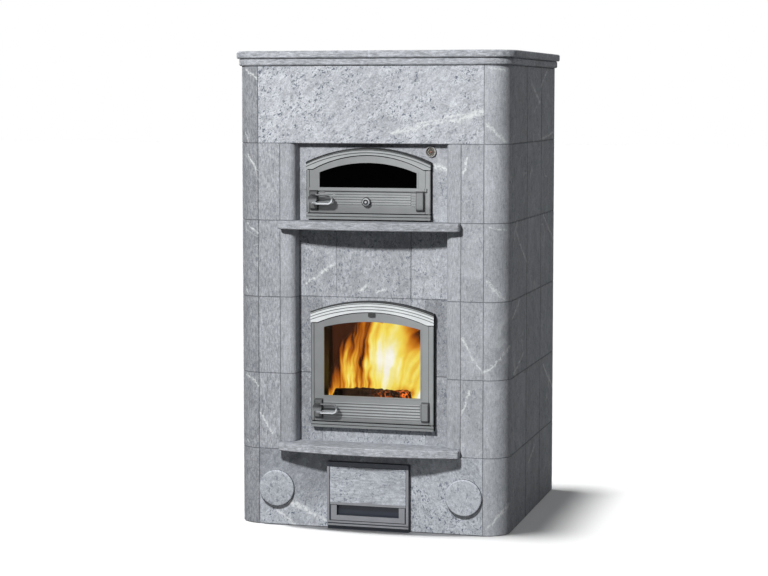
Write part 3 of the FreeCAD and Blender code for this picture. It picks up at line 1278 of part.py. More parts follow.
def ash_drawer(front_half, bottom, back):
    """Ash box with a steel front, its stone facing, the lip with a finger tab and the runners."""
    top = f"(Size.ash_frame_bottom + {ASH_FRAME_HEIGHT} - Size.ash_top_rail - Size.ash_gap)"
    height = f"({top} - {bottom})"
    width = f"(2 * {front_half})"
    drawer = new_body("ash_drawer", f"-{front_half}", FRONT, bottom)
    plate = new_sketch(drawer, "XZ_Plane", back)
    rectangle(plate, "0", "0", width, height)
    pad(drawer, plate, "Size.drawer_plate")
    lip = new_sketch(drawer, "XZ_Plane", f"{back} + Size.drawer_plate")
    tab_right = f"({front_half} + Size.drawer_tab_shift)"
    tab_left = f"({tab_right} - Size.drawer_tab_width)"
    tab_top = "(Size.drawer_lip + Size.drawer_tab_rise)"
    outline(lip, [("0", "0"), (width, "0"), (width, "Size.drawer_lip"), (tab_right, "Size.drawer_lip"),
                  (tab_right, tab_top), (tab_left, "Size.drawer_lip"), ("0", "Size.drawer_lip")])
    pad(drawer, lip, "Size.drawer_stone")
    half_box = "(Size.ash_opening_width / 2 - Size.drawer_box_gap)"
    box_left = f"({front_half} - {half_box})"
    box_right = f"({front_half} + {half_box})"
    box_top = f"({height} - Size.drawer_box_head)"
    box = new_sketch(drawer, "XZ_Plane", back)
    rectangle(box, box_left, "Size.drawer_lip", box_right, box_top)
    pad(drawer, box, "Size.drawer_box_depth", reverse=True)
    hollow = new_sketch(drawer, "XY_Plane", box_top)
    wall = "Size.drawer_wall"
    rectangle(hollow, f"{box_left} + {wall}", f"-{back}", f"{box_right} - {wall}",
              f"Size.drawer_box_depth - {back} - {wall}")
    pocket(drawer, hollow, f"{box_top} - Size.drawer_lip - {wall}")
    node(drawer)

    stone = new_body("ash_drawer_stone", f"-{front_half}", FRONT, bottom)
    face = new_sketch(stone, "XZ_Plane", f"{back} + Size.drawer_plate")
    outline(face, [("0", "Size.drawer_lip"), (tab_left, "Size.drawer_lip"), (tab_right, tab_top),
                   (tab_right, "Size.drawer_lip"), (width, "Size.drawer_lip"), (width, height),
                   ("0", height)])
    pad(stone, face, "Size.drawer_stone")
    node(stone)

    runner_top = f"({bottom} + Size.drawer_lip - Size.skid_clearance)"
    runner_bottom = f"({runner_top} - Size.runner_thickness)"
    inner = f"({half_box} - Size.runner_overlap)"
    outer = HALF_PIT
    rear = f"({FRONT} + Size.drawer_box_depth)"
    group("ash_drawer_runners", [
        block("runner_left", f"-{outer}", f"-{inner}", INNER_FRONT, rear, runner_bottom, runner_top),
        block("runner_right", inner, outer, INNER_FRONT, rear, runner_bottom, runner_top),
    ])


def write_parts():
    """Check every object, then write one STEP file for each sub-part."""
    doc.recompute()
    for obj in doc.Objects:
        if "Invalid" in obj.State or "Error" in obj.State:
            raise RuntimeError(f"{obj.Label} did not build")
        if obj.TypeId == "PartDesign::Pocket" and obj.Shape.Volume >= obj.BaseFeature.Shape.Volume - 1e-6:
            raise RuntimeError(f"{obj.Label} cuts nothing")
    for obj in nodes:
        if obj.Shape.isNull() or not obj.Shape.isValid():
            raise RuntimeError(f"{obj.Label} has no valid shape")
    os.makedirs("parts", exist_ok=True)
    for obj in nodes:
        obj.Shape.exportStep(os.path.join("parts", f"{obj.Label}.step"))
    print(len(nodes), "sub-parts written")


corner_stones()
side_stones()
rear_stones()
flue_collar()
front_stones()
oven_door = Door("oven", "-Size.oven_shift", course(5), course(6))
firebox_door = Door("firebox", "0", course(2), course(4))
panel_stones(firebox_door)
oven_surround_stone(oven_door)
base_stones()
shelf("lower_shelf", course(2))
shelf("upper_shelf", f"({course(5)} - Size.shelf_thickness)")
cornice("cornice_lower_slab", "Size.lower_cornice_overhang", SHELL_TOP, "Size.lower_cornice_thickness")
cornice("cornice_upper_slab", "Size.upper_cornice_overhang", f"({SHELL_TOP} + Size.lower_cornice_thickness)",
        "Size.upper_cornice_thickness")
core()
soot_covers()
doors(oven_door, firebox_door)
thermometer()
ash_unit()
write_parts()
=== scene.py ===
import math
import random

import bmesh
import bpy
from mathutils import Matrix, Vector

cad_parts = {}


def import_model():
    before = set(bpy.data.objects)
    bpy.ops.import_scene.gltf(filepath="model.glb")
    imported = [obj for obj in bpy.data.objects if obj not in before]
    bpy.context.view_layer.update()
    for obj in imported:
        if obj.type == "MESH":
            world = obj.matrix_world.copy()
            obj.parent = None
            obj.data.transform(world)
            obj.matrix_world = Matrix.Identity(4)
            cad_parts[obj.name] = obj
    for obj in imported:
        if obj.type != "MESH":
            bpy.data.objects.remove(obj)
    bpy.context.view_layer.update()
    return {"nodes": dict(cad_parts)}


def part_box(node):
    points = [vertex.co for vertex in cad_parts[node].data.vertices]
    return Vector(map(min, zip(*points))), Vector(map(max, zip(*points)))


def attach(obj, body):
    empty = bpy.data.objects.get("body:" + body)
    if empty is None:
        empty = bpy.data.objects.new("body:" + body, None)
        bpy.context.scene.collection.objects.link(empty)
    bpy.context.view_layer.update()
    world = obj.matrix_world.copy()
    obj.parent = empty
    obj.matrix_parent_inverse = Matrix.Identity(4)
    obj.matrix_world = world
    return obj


# Soapstone masonry heater in a pale studio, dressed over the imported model.
# Metres, +Z up, the front looks along -Y. A node's Object coordinates are its places at rest.

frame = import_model()
scene = bpy.context.scene
rng = random.Random(7)

X, Y, Z = range(3)


def span(node, axis):
    """Lowest and highest place of a node along an axis, to a tenth of a millimetre."""
    low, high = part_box(node)
    return round(low[axis], 4), round(high[axis], 4)


# Shader graphs
NOISE_LOW, NOISE_HIGH = 0.3, 0.7
NOISE_MIDDLE = (0.5, 0.5, 0.5)
WHITE = (1, 1, 1, 1)


class Graph:
    """A material's node tree, with short ways to add nodes."""

    def __init__(self, name):
        self.material = bpy.data.materials.new(name)
        self.material.use_nodes = True
        self.tree = self.material.node_tree
        self.tree.nodes.clear()

    def add(self, kind, inputs=None, **settings):
        made = self.tree.nodes.new(f"ShaderNode{kind}")
        for key, setting in settings.items():
            setattr(made, key, setting)
        for key, source in (inputs or {}).items():
            self.feed(made.inputs[key], source)
        return made

    def feed(self, socket, source):
        if isinstance(source, bpy.types.NodeSocket):
            self.tree.links.new(source, socket)
        else:
            socket.default_value = source

    def math(self, operation, first, second=0.0):
        return self.add("Math", {0: first, 1: second}, operation=operation).outputs[0]

    def product(self, first, *others):
        for other in others:
            first = self.math("MULTIPLY", first, other)
        return first

    def total(self, first, *others):
        for other in others:
            first = self.math("ADD", first, other)
        return first

    def largest(self, first, *others):
        for other in others:
            first = self.math("MAXIMUM", first, other)
        return first

    def less(self, first, second):
        return self.math("SUBTRACT", first, second)

    def apart(self, first, second):
        """How far two values are from each other."""
        return self.math("ABSOLUTE", self.less(first, second))

    def from_line(self, value):
        """How far a value is from the nearest whole number."""
        return self.apart(self.math("FRACT", self.total(value, 0.5)), 0.5)

    def darkened(self, mask, tone):
        """Factor that falls from 1 to tone under the mask."""
        return self.less(1.0, self.product(mask, 1 - tone))

    def vector(self, operation, first, second=(0, 0, 0)):
        return self.add("VectorMath", {0: first, 1: second}, operation=operation).outputs[0]

    def turned(self, vector, degrees):
        """Vector turned in the plane of the front."""
        return self.add("VectorRotate", {"Vector": vector, "Angle": math.radians(degrees)},
                        rotation_type="Y_AXIS").outputs[0]

    def scaled(self, vector, factor):
        return self.add("VectorMath", {0: vector, "Scale": factor}, operation="SCALE").outputs[0]

    def length(self, vector):
        return self.add("VectorMath", {0: vector}, operation="LENGTH").outputs["Value"]

    def dot(self, first, second):
        return self.add("VectorMath", {0: first, 1: second}, operation="DOT_PRODUCT").outputs["Value"]

    def noise(self, vector, scale, detail=3.0, roughness=0.55, distortion=0.0, output="Fac"):
        made = self.add("TexNoise", {"Vector": vector, "Scale": scale, "Detail": detail,
                                     "Roughness": roughness, "Distortion": distortion})
        return made.outputs[output]

    def swirl(self, vector, scale, detail=3.0, roughness=0.55):
        """Noise with a direction, around zero."""
        return self.vector("SUBTRACT", self.noise(vector, scale, detail, roughness, output="Color"),
                           NOISE_MIDDLE)

    def step(self, value, low, high):
        """0 at low, 1 at high and smooth between, also when low is the larger one."""
        return self.add("MapRange", {"Value": value, "From Min": low, "From Max": high},
                        interpolation_type="SMOOTHSTEP").outputs[0]

    def between(self, value, low, high, soft=0.0015):
        """1 from low to high, with soft edges."""
        rising = self.step(value, low - soft, low + soft)
        falling = self.step(value, high + soft, high - soft)
        return self.product(rising, falling)

    def spread(self, noise, least, most):
        """Noise, which keeps near its middle, spread over a range."""
        return self.add("MapRange", {"Value": noise, "From Min": NOISE_LOW, "From Max": NOISE_HIGH,
                                     "To Min": least, "To Max": most}).outputs[0]

    def ramp(self, factor, stops):
        """Colours by factor; stops are (place, grey or colour)."""
        made = self.add("ValToRGB", {"Fac": factor})
        band = made.color_ramp
        while len(band.elements) < len(stops):
            band.elements.new(1.0)
        for element, (place, colour) in zip(band.elements, stops):
            element.position = place
            plain = not isinstance(colour, tuple)
            element.color = (colour, colour, colour, 1) if plain else (*colour, 1)
        return made.outputs["Color"]

    def mix(self, factor, first, second):
        """Colour from first to second; a Mix node has its colours on sockets 6 and 7."""
        made = self.add("Mix", {0: factor}, data_type="RGBA")
        for socket, colour in ((6, first), (7, second)):
            self.feed(made.inputs[socket], (*colour, 1) if isinstance(colour, tuple) else colour)
        return made.outputs[2]

    def place(self):
        return self.add("TexCoord").outputs["Object"]

    def axes(self, vector):
        return self.add("SeparateXYZ", {0: vector}).outputs

    def bump(self, height, strength, distance):
        made = self.add("Bump", {"Height": height, "Strength": strength, "Distance": distance})
        return made.outputs["Normal"]

    def surface(self, shader):
        output = self.add("OutputMaterial")
        self.tree.links.new(shader, output.inputs["Surface"])
        return self.material

    def principled(self, **inputs):
        named = {key.replace("_", " "): source for key, source in inputs.items()}
        return self.surface(self.add("BsdfPrincipled", named).outputs[0])


def dress(material, *nodes):
    for name in nodes:
        mesh = frame["nodes"][name].data
        mesh.materials.clear()
        mesh.materials.append(material)


def new_piece(name, mesh_builder, material, body):
    """Object from a bmesh with one material, riding on a body."""
    mesh = bpy.data.meshes.new(name)
    work = bmesh.new()
    mesh_builder(work)
    work.to_mesh(mesh)
    work.free()
    piece = bpy.data.objects.new(name, mesh)
    scene.collection.objects.link(piece)
    mesh.materials.append(material)
    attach(piece, body)


# Soapstone
COURSE = span("base_stone_left", Z)[1]
ROW_STONES = 3
UPRIGHT, LEVEL, EVEN = (1.0, 1.0, 0.28), (0.22, 0.6, 1.0), (1.0, 1.0, 1.0)
FACING_FRONT, FACING_SIDE = (1.0, 0.0, 1.0), (0.0, 1.0, 1.0)
RED_SHARE, BLUE_SHARE = 0.962, 1.068
SPOT_TINT = (0.135, 0.155, 0.195)
PALE_TINT = (0.72, 0.735, 0.76)
VEIN_TINT = (0.77, 0.79, 0.79)
VEIN_WANDER, VEIN_FEATHER, VEIN_SOFT = 0.034, 0.012, 1.5
JOINT_HALF, SIDE_COURSE_HALF, SIDE_UPRIGHT_HALF = 0.0028, 0.0046, 0.0062
JOINT_CORE, JOINT_TONE, JOINT_DEPTH = 0.4, 0.5, 0.8
EDGE_HALF, EDGE_CORE, EDGE_DEPTH = 0.0026, 0.001, 0.75
ROW_END, ROW_END_SOFT = 0.1, 0.05
CALM_SOFT, CALM_MOTTLE = 0.07, 0.35
RIM_SOFT = 0.002
STONE_SHIFT = (7.0, 9.0, 8.0)
STONE_TONES = (0.94, 1.06)
STONE_GLOSS = 0.04
FLECK_STRETCH = (1.0, 1.0, 0.7)


def drawn_veins(g, place, facing, veins):
    """Mask of feathery white veins, each between two points given across the face and up, with a width."""
    wander = g.scaled(g.swirl(place, 30.0, 4.0, 0.65), VEIN_WANDER)
    feather = g.scaled(g.swirl(place, 140.0, 3.0, 0.6), VEIN_FEATHER)
    strayed = g.vector("ADD", g.vector("ADD", place, wander), feather)
    flat = g.vector("MULTIPLY", strayed, facing)
    masks = []
    for (across, up), (across_end, up_end), width in veins:
        start = Vector((across * facing[X], across * facing[Y], up))
        along = Vector((across_end * facing[X], across_end * facing[Y], up_end)) - start
        offset = g.vector("SUBTRACT", flat, tuple(start))
        share = g.product(g.dot(offset, tuple(along)), 1 / along.length_squared)
        nearest = g.scaled(tuple(along), g.math("MINIMUM", g.largest(share, 0.0), 1.0))
        off_line = g.length(g.vector("SUBTRACT", offset, nearest))
        masks.append(g.step(off_line, width * VEIN_SOFT, 0.0))
    broken = g.step(g.noise(place, 95.0, 3.0, 0.65), 0.34, 0.60)
    return g.product(g.largest(*masks), broken)


def joint_shade(g, axes, cell, origin, edges):
    """Tone that falls along the joints between courses, between the stones of a row and at upright edges.

    The joints of the side walls are drawn wider, because the photograph shows those walls at a slant.
    """
    course_half = SIDE_COURSE_HALF if cell[Y] else JOINT_HALF
    off_course = g.product(g.from_line(g.product(axes[Z], 1 / COURSE)), COURSE)
    masks = [g.product(g.step(off_course, course_half, course_half * JOINT_CORE), JOINT_DEPTH)]
    for axis, half, depth in ((X, JOINT_HALF, JOINT_DEPTH), (Y, SIDE_UPRIGHT_HALF, 1.0)):
        if cell[axis]:
            along = g.product(g.less(axes[axis], origin[axis]), 1 / cell[axis])
            inside = g.between(along, ROW_END, ROW_STONES - ROW_END, ROW_END_SOFT)
            off_joint = g.product(g.from_line(along), cell[axis])
            masks.append(g.product(inside, g.step(off_joint, half, half * JOINT_CORE), depth))
    for edge in edges:
        off_edge = g.apart(g.math("ABSOLUTE", axes[X]), edge)
        masks.append(g.product(g.step(off_edge, EDGE_HALF, EDGE_CORE), EDGE_DEPTH))
    return g.darkened(g.largest(*masks), JOINT_TONE)


def soapstone(name, tint, grain=EVEN, cell=(0, 0, 0), origin=(0, 0, 0), mottle=0.5, streak=0.3, hairs=0.0,
              lay=0.0, veins=(), facing=FACING_FRONT, joints=None, rim=None, calm=None, seed=0.0):
    """Honed soapstone: clouds, dark spots, specks, grain along one axis and white veins, new in each stone.

    cell is the size of one stone along each axis, 0 where the stones aren't split, counted from origin.
    lay is the slope of its flecks in degrees. joints are the upright edges, left and right of the middle,
    that show as dark lines beside the courses. rim is the depth behind which the stone is painted darker, and
    its tone there: painted shade round the soot covers' rims, and darker stone inside the firebox's jambs.
    calm is the height above which the stone is plainer, and its tone there.
    """
    g = Graph(name)
    place = g.place()
    shares = tuple(1 / size if size else 0.0 for size in cell)
    count = g.vector("FLOOR", g.vector("MULTIPLY", g.vector("SUBTRACT", place, origin), shares))
    stone_noise = g.add("TexWhiteNoise", {"Vector": count, "W": seed}, noise_dimensions="4D")
    random_stone = stone_noise.outputs["Color"]
    shifted = g.vector("ADD", place, g.vector("MULTIPLY", random_stone, STONE_SHIFT))
    laid = g.vector("MULTIPLY", g.turned(shifted, lay), FLECK_STRETCH)

    clouds = g.noise(laid, 9.0, detail=3.0, roughness=0.55, distortion=0.8)
    patches = g.noise(laid, 42.0, detail=4.0, roughness=0.64, distortion=1.2)
    flecks = g.noise(laid, 115.0, detail=1.5, roughness=0.5, distortion=0.8)
    grains = g.noise(laid, 240.0, detail=1.5, roughness=0.5, distortion=0.4)
    specks = g.noise(shifted, 400.0, detail=2.0, roughness=0.6)
    streaks = g.noise(g.vector("MULTIPLY", shifted, grain), 190.0, detail=4.0, roughness=0.6, distortion=0.3)

    dimmest, brightest = STONE_TONES
    own_tone = g.add("MapRange", {"Value": g.axes(random_stone)[X], "To Min": dimmest, "To Max": brightest})
    tone = g.product(
        own_tone.outputs[0],
        g.spread(clouds, 0.88, 1.12),
        g.spread(patches, 1 - 0.28 * mottle, 1 + 0.28 * mottle),
        g.spread(streaks, 1 - 0.44 * streak, 1 + 0.38 * streak),
        g.spread(specks, 0.80, 1.20),
    )
    busy = mottle
    if calm is not None:
        height, calm_tone = calm
        above = g.step(g.axes(place)[Z], height - CALM_SOFT, height + CALM_SOFT)
        busy = g.product(g.darkened(above, CALM_MOTTLE), mottle)
        tone = g.product(tone, g.darkened(above, calm_tone))
    if joints is not None:
        tone = g.product(tone, joint_shade(g, g.axes(place), cell, origin, joints))
    if rim is not None:
        depth, rim_tone = rim
        behind = g.step(g.axes(place)[Y], depth, depth + RIM_SOFT)
        tone = g.product(tone, g.darkened(behind, rim_tone))
    colour = g.scaled(tint, tone)

    thread = g.apart(g.noise(laid, 20.0, detail=4.0, roughness=0.6, distortion=1.6), 0.5)
    wisps = g.product(g.step(thread, 0.030, 0.004), g.step(patches, 0.44, 0.62), g.product(busy, 0.55))
    colour = g.mix(wisps, colour, PALE_TINT)
    pale_grains = g.product(g.step(grains, 0.40, 0.30), g.product(busy, 0.5))
    colour = g.mix(pale_grains, colour, PALE_TINT)
    pits = g.product(g.step(grains, 0.58, 0.68), 0.7)
    clusters = g.step(g.noise(laid, 16.0, detail=3.0, roughness=0.6, distortion=0.6), 0.36, 0.58)
    spots = g.largest(g.step(flecks, 0.57, 0.66), pits)
    colour = g.mix(g.product(spots, busy, g.total(0.3, g.product(clusters, 0.8))), colour, SPOT_TINT)

    ridge = g.apart(g.noise(shifted, 2.6, detail=3.0, roughness=0.5, distortion=0.6), 0.5)
    hair_place = g.step(g.noise(shifted, 6.0, detail=2.0), 0.56, 0.64)
    colour = g.mix(g.product(g.step(ridge, 0.012, 0.003), hair_place, hairs), colour, VEIN_TINT)
    if veins:
        colour = g.mix(drawn_veins(g, place, facing, veins), colour, VEIN_TINT)
    return g.principled(Base_Color=colour, Roughness=g.spread(specks, 0.80, 0.66),
                        Specular_IOR_Level=STONE_GLOSS, Normal=g.bump(g.total(flecks, streaks), 0.10, 0.0006))


def sooty_stone(name, tint):
    """Sawn stone of the core, browned and blackened by smoke."""
    g = Graph(name)
    place = g.place()
    soot = g.noise(place, 5.0, detail=5.0, roughness=0.65, distortion=0.6)
    grit = g.noise(place, 180.0)
    colour = g.scaled(tint, g.product(g.spread(soot, 1.0, 0.4), g.spread(grit, 0.8, 1.3)))
    return g.principled(Base_Color=colour, Roughness=0.9, Normal=g.bump(grit, 0.3, 0.001))


def grey(level):
    """Bluish grey of the stone at a level of brightness."""
    return (level * RED_SHARE, level, level * BLUE_SHARE)


def dress_stone(kind, nodes, level, grain=EVEN, **look):
    dress(soapstone(f"soapstone_{kind}", grey(level), grain, **look), *nodes)


# Veins, as points across the face and up from the floor, and widths
corner_left_veins = [((-0.48, 1.405), (-0.433, 1.342), 0.0035)]
for lift in (0, 2 * COURSE, 4 * COURSE):
    corner_left_veins.append(((-0.488, 0.568 + lift), (-0.437, 0.530 + lift), 0.004))
    corner_left_veins.append(((-0.492, 0.325 + lift), (-0.478, 0.298 + lift), 0.003))
corner_right_veins = [
    ((0.44, 1.53), (0.505, 1.46), 0.007),
    ((0.445, 0.95), (0.505, 0.88), 0.007),
    ((0.52, 0.705), (0.48, 0.645), 0.0045),
    ((0.48, 0.645), (0.44, 0.61), 0.0045),
    ((0.52, 0.11), (0.48, 0.06), 0.006),
    ((0.48, 0.06), (0.45, 0.025), 0.0045),
    ((0.455, 1.148), (0.505, 1.138), 0.004),
    ((0.455, 1.728), (0.505, 1.718), 0.004),
]
front_left_veins = [((-0.432, 0.425), (-0.383, 0.35), 0.005)]
front_right_veins = [
    ((0.355, 1.34), (0.375, 1.40), 0.005),
    ((0.355, 0.735), (0.41, 0.635), 0.0045),
    ((0.41, 0.635), (0.435, 0.605), 0.0045),
    ((0.385, 0.54), (0.355, 0.46), 0.004),
]
panel_veins = [
    ((-0.27, 0.92), (-0.205, 0.96), 0.004),
    ((-0.205, 0.96), (-0.15, 0.995), 0.006),
    ((-0.06, 0.895), (-0.02, 0.92), 0.008),
    ((0.01, 0.895), (0.045, 0.905), 0.006),
]
base_veins = [
    ((-0.315, 0.09), (-0.245, 0.06), 0.011),
    ((-0.245, 0.06), (-0.165, 0.02), 0.008),
    ((-0.36, 0.05), (-0.29, 0.0), 0.007),
]
lintel_veins = [
    ((0.09, 1.49), (0.21, 1.52), 0.009),
    ((0.21, 1.52), (0.34, 1.54), 0.007),
    ((0.34, 1.54), (0.43, 1.57), 0.016),
    ((0.18, 1.525), (0.36, 1.56), 0.004),
]
oven_veins = [((0.235, 1.365), (0.275, 1.355), 0.014)]
side_veins = [
    ((-0.145, 0.65), (-0.335, 0.59), 0.006),
    ((-0.225, 0.86), (-0.375, 0.80), 0.006),
    ((0.25, 0.55), (0.45, 0.435), 0.0075),
    ((-0.035, 0.205), (0.09, 0.255), 0.006),
    ((-0.03, 1.675), (0.155, 1.60), 0.0075),
    ((0.30, 1.73), (0.175, 1.665), 0.006),
    ((0.20, 1.46), (0.45, 1.48), 0.005),
    ((-0.31, 1.12), (-0.10, 0.99), 0.0055),
    ((0.235, 1.15), (0.452, 1.046), 0.006),
]

# Stones
CORNER_EDGE = span("front_stones_right", X)[1]
RECESS_EDGE = span("front_stones_right", X)[0]
SIDE_FRONT, SIDE_REAR = span("side_stones_right", Y)
REAR_LEFT, REAR_RIGHT = span("rear_stones", X)
SLAB_BOTTOM, SLAB_TOP = span("cornice_lower_slab", Z)
# Depth behind which the soot covers' rounded rims are painted darker, as shade in the gap round them
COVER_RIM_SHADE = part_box("soot_cover_left")[0].y + 0.0025
JAMB_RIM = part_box("firebox_jamb_stones")[0].y + 0.015
SIDE_CELL = (0, (SIDE_REAR - SIDE_FRONT) / ROW_STONES, COURSE)
REAR_CELL = ((REAR_RIGHT - REAR_LEFT) / ROW_STONES, 0, COURSE)
COURSE_CELL = (0, 0, COURSE)
# Long enough to hold one piece of a pair, and to leave the other piece out
PAIR_CELL = 0.5

# The left corner's stone is set darker than the right corner's, as painted shade
dress_stone("corner_left", ["corner_stones_left"], 0.34, UPRIGHT, mottle=0.4, streak=0.8, hairs=0.3, seed=1.0,
            veins=corner_left_veins, joints=(CORNER_EDGE,), cell=COURSE_CELL)
dress_stone("corner_right", ["corner_stones_right"], 0.505, UPRIGHT, mottle=0.25, streak=0.4, hairs=0.3,
            seed=2.0, veins=corner_right_veins, joints=(CORNER_EDGE,), cell=COURSE_CELL)
dress_stone("front_left", ["front_stones_left"], 0.42, UPRIGHT, mottle=0.35, streak=0.9, hairs=0.15, seed=3.0,
            veins=front_left_veins, joints=(CORNER_EDGE, RECESS_EDGE), cell=COURSE_CELL)
dress_stone("front_right", ["front_stones_right"], 0.475, UPRIGHT, mottle=0.4, streak=0.4, hairs=0.3,
            seed=4.0, veins=front_right_veins, joints=(CORNER_EDGE, RECESS_EDGE), cell=COURSE_CELL)
dress_stone("pilaster", ["pilaster_stones_left", "pilaster_stones_right"], 0.43, UPRIGHT, mottle=0.1,
            streak=0.6, seed=5.0, joints=(RECESS_EDGE,), cell=COURSE_CELL)
dress_stone("side", ["side_stones_left", "side_stones_right"], 0.44, hairs=0.4, seed=6.0, veins=side_veins,
            facing=FACING_SIDE, joints=(), cell=SIDE_CELL, origin=(0, SIDE_FRONT, 0))
dress_stone("rear", ["rear_stones", "rear_outlet_stone"], 0.44, hairs=0.6, seed=7.0, joints=(),
            cell=REAR_CELL, origin=(REAR_LEFT, 0, 0))
dress_stone("base_left", ["base_stone_left", "ash_lintel_stone"], 0.53, mottle=0.9, hairs=0.2, lay=-25.0,
            calm=(0.11, 0.60), seed=8.0, veins=base_veins, joints=(CORNER_EDGE,))
dress_stone("base_right", ["base_stone_right"], 0.50, mottle=0.9, hairs=0.2, lay=20.0, calm=(0.22, 0.80),
            seed=18.0, joints=(CORNER_EDGE,))
dress_stone("lintel", ["top_lintel_stone"], 0.53, mottle=0.85, lay=-50.0, seed=9.0, veins=lintel_veins,
            joints=(CORNER_EDGE,))
dress_stone("jamb", ["firebox_jamb_stones"], 0.36, UPRIGHT, mottle=0.7, seed=10.0, joints=(),
            rim=(JAMB_RIM, 0.12), cell=COURSE_CELL)
dress_stone("sill", ["firebox_sill_stone"], 0.475, mottle=0.7, seed=11.0)
dress_stone("panel", ["panel_stones", "firebox_lintel_stone"], 0.45, UPRIGHT, mottle=0.7, streak=0.4,
            hairs=0.2, seed=12.0, veins=panel_veins, joints=(), cell=(COURSE, 0, 0),
            origin=(-COURSE / 2, 0, 0))
dress_stone("oven", ["oven_surround_stone"], 0.42, mottle=0.55, hairs=0.2, seed=13.0, veins=oven_veins)
for shelf, shelf_level in (("lower_shelf", 0.49), ("upper_shelf", 0.40)):
    dress_stone(shelf, [shelf], shelf_level, LEVEL, mottle=0.15, streak=0.9, seed=14.0,
                cell=(0, 0, PAIR_CELL))
dress_stone("cornice", ["cornice_lower_slab", "cornice_upper_slab"], 0.465, LEVEL, mottle=0.15, streak=1.0,
            seed=15.0, cell=(0, 0, round(SLAB_TOP - SLAB_BOTTOM, 4)), origin=(0, 0, SLAB_BOTTOM))
dress_stone("drawer", ["ash_drawer_stone"], 0.48, LEVEL, mottle=0.6, streak=0.6, lay=80.0, seed=16.0)
# The covers' rims get painted shade, a dark outline round them
dress_stone("cover", ["soot_cover_left", "soot_cover_right"], 0.49, lay=30.0, seed=17.0,
            cell=(PAIR_CELL, 0, 0), rim=(COVER_RIM_SHADE, 0.3))
dress(sooty_stone("core_stone", (0.20, 0.19, 0.18)), "base_slab", "plinth_blocks", "cap_bearers", "cap_slab")
dress(sooty_stone("core_stone_sooty", (0.018, 0.012, 0.008)), "firebox_floor_stones", "core_side_walls",
      "core_back_walls", "throat_slab", "oven_floor_slab", "oven_ceiling_slab")

# Paint, metal, glass and rope
PAINT_TINT = (0.254, 0.264, 0.267)
ASH_TINT = (0.235, 0.24, 0.255)
HANDLE_TINT = (0.28, 0.29, 0.30)
# Navy of painted shade in hollows and gaps and under the shelf
SHADE_NAVY_TINT = (0.012, 0.016, 0.026)


def paint(name, tint, shade=None, hollow=None, polish=0.45, metallic=0.2, gloss=0.5):
    """Heat-proof paint over a fine-grained casting.

    shade(g, axes) gives its tone from place to place, and hollow(g, axes) the places painted navy as shade.
    """
    g = Graph(name)
    place = g.place()
    cast = g.noise(place, 420.0, detail=3.0, roughness=0.6)
    haze = g.noise(place, 14.0, detail=3.0, roughness=0.5, distortion=0.4)
    tone = g.product(g.spread(haze, 0.94, 1.06), g.spread(cast, 0.92, 1.06))
    if shade:
        tone = g.product(tone, shade(g, g.axes(place)))
    colour = g.scaled(tint, tone)
    # Places under the hollow mask are painted navy as shade.
    if hollow:
        colour = g.mix(hollow(g, g.axes(place)), colour, SHADE_NAVY_TINT)
    return g.principled(Base_Color=colour, Roughness=g.spread(cast, polish - 0.06, polish + 0.08),
                        Metallic=metallic, Specular_IOR_Level=gloss, Normal=g.bump(cast, 0.10, 0.0004))


def raw_iron(name, tint, metallic=0.7):
    """Rough unpainted iron or steel."""
    g = Graph(name)
    place = g.place()
    grain = g.noise(place, 260.0, detail=4.0, roughness=0.65)
    stain = g.noise(place, 18.0, detail=4.0, roughness=0.6, distortion=0.7)
    colour = g.scaled(tint, g.spread(stain, 1.0, 0.65))
    return g.principled(Base_Color=colour, Metallic=metallic, Roughness=g.spread(grain, 0.5, 0.75),
                        Normal=g.bump(grain, 0.25, 0.0006))


def stove_glass(name, clearest, sootiest, index):
    """Ceramic glass with a smoke film from clear to sooty."""
    g = Graph(name)
    film = g.noise(g.place(), 9.0, detail=4.0, roughness=0.6, distortion=1.0)
    tone = g.ramp(film, [(0.3, clearest), (0.8, sootiest)])
    clear = g.add("BsdfTransparent", {"Color": tone}).outputs[0]
    gloss = g.add("BsdfGlossy", {"Color": WHITE, "Roughness": g.spread(film, 0.02, 0.10)}).outputs[0]
    share = g.add("Fresnel", {"IOR": index}).outputs[0]
    return g.surface(g.add("MixShader", {0: share, 1: clear, 2: gloss}).outputs[0])


def woven_rope(name):
    g = Graph(name)
    weave = g.add("TexWave", {"Vector": g.place(), "Scale": 160.0, "Distortion": 2.0, "Detail": 2.0},
                  bands_direction="DIAGONAL").outputs["Fac"]
    colour = g.mix(weave, (0.05, 0.05, 0.05), (0.16, 0.155, 0.15))
    return g.principled(Base_Color=colour, Roughness=0.95, Normal=g.bump(weave, 0.5, 0.001))


# Doors
# The deep tone darkens sides and edges set back from a face as painted shade, and also the arch rim and the
# lug; the groove tone is painted shade in grooves; the soot tone is the soot of a throat.
DEEP_TONE, GROOVE_TONE, SOOT_TONE = 0.10, 0.28, 0.05
# Depths behind a face, or below 0 in front of it, over which a tone comes in
FRAME_GROOVE, FRAME_SIDE, FRAME_THROAT = (0.0005, 0.0022), (0.0036, 0.005), (0.023, 0.028)
LEAF_SIDE, LUG_FACE = (0.001, 0.003), (-0.001, -0.003)
RIB_RIDGE, RIB_VALLEY = (-0.0012, -0.0024), (-0.002, -0.0008)
# Places on a face
BAND_SOFT, LINE_SOFT, SEAM_SOFT = 0.002, 0.0006, 0.0008
ARCH_RIM, ARCH_RIM_SOFT = 0.007, 0.0015
BLOCK_INSET, BLOCK_WIDTH, BLOCK_PROUD = 0.018, 0.028, 0.014
BLOCK_BOTTOM, BLOCK_HEIGHT = 0.034, 0.072
# Each block is darkened with its outline and its face lightened again, leaving the outline as painted shade
BLOCK_TONE, BLOCK_GAINS = 0.3, (0.6, 1.5)
OUTLINE = 0.0025
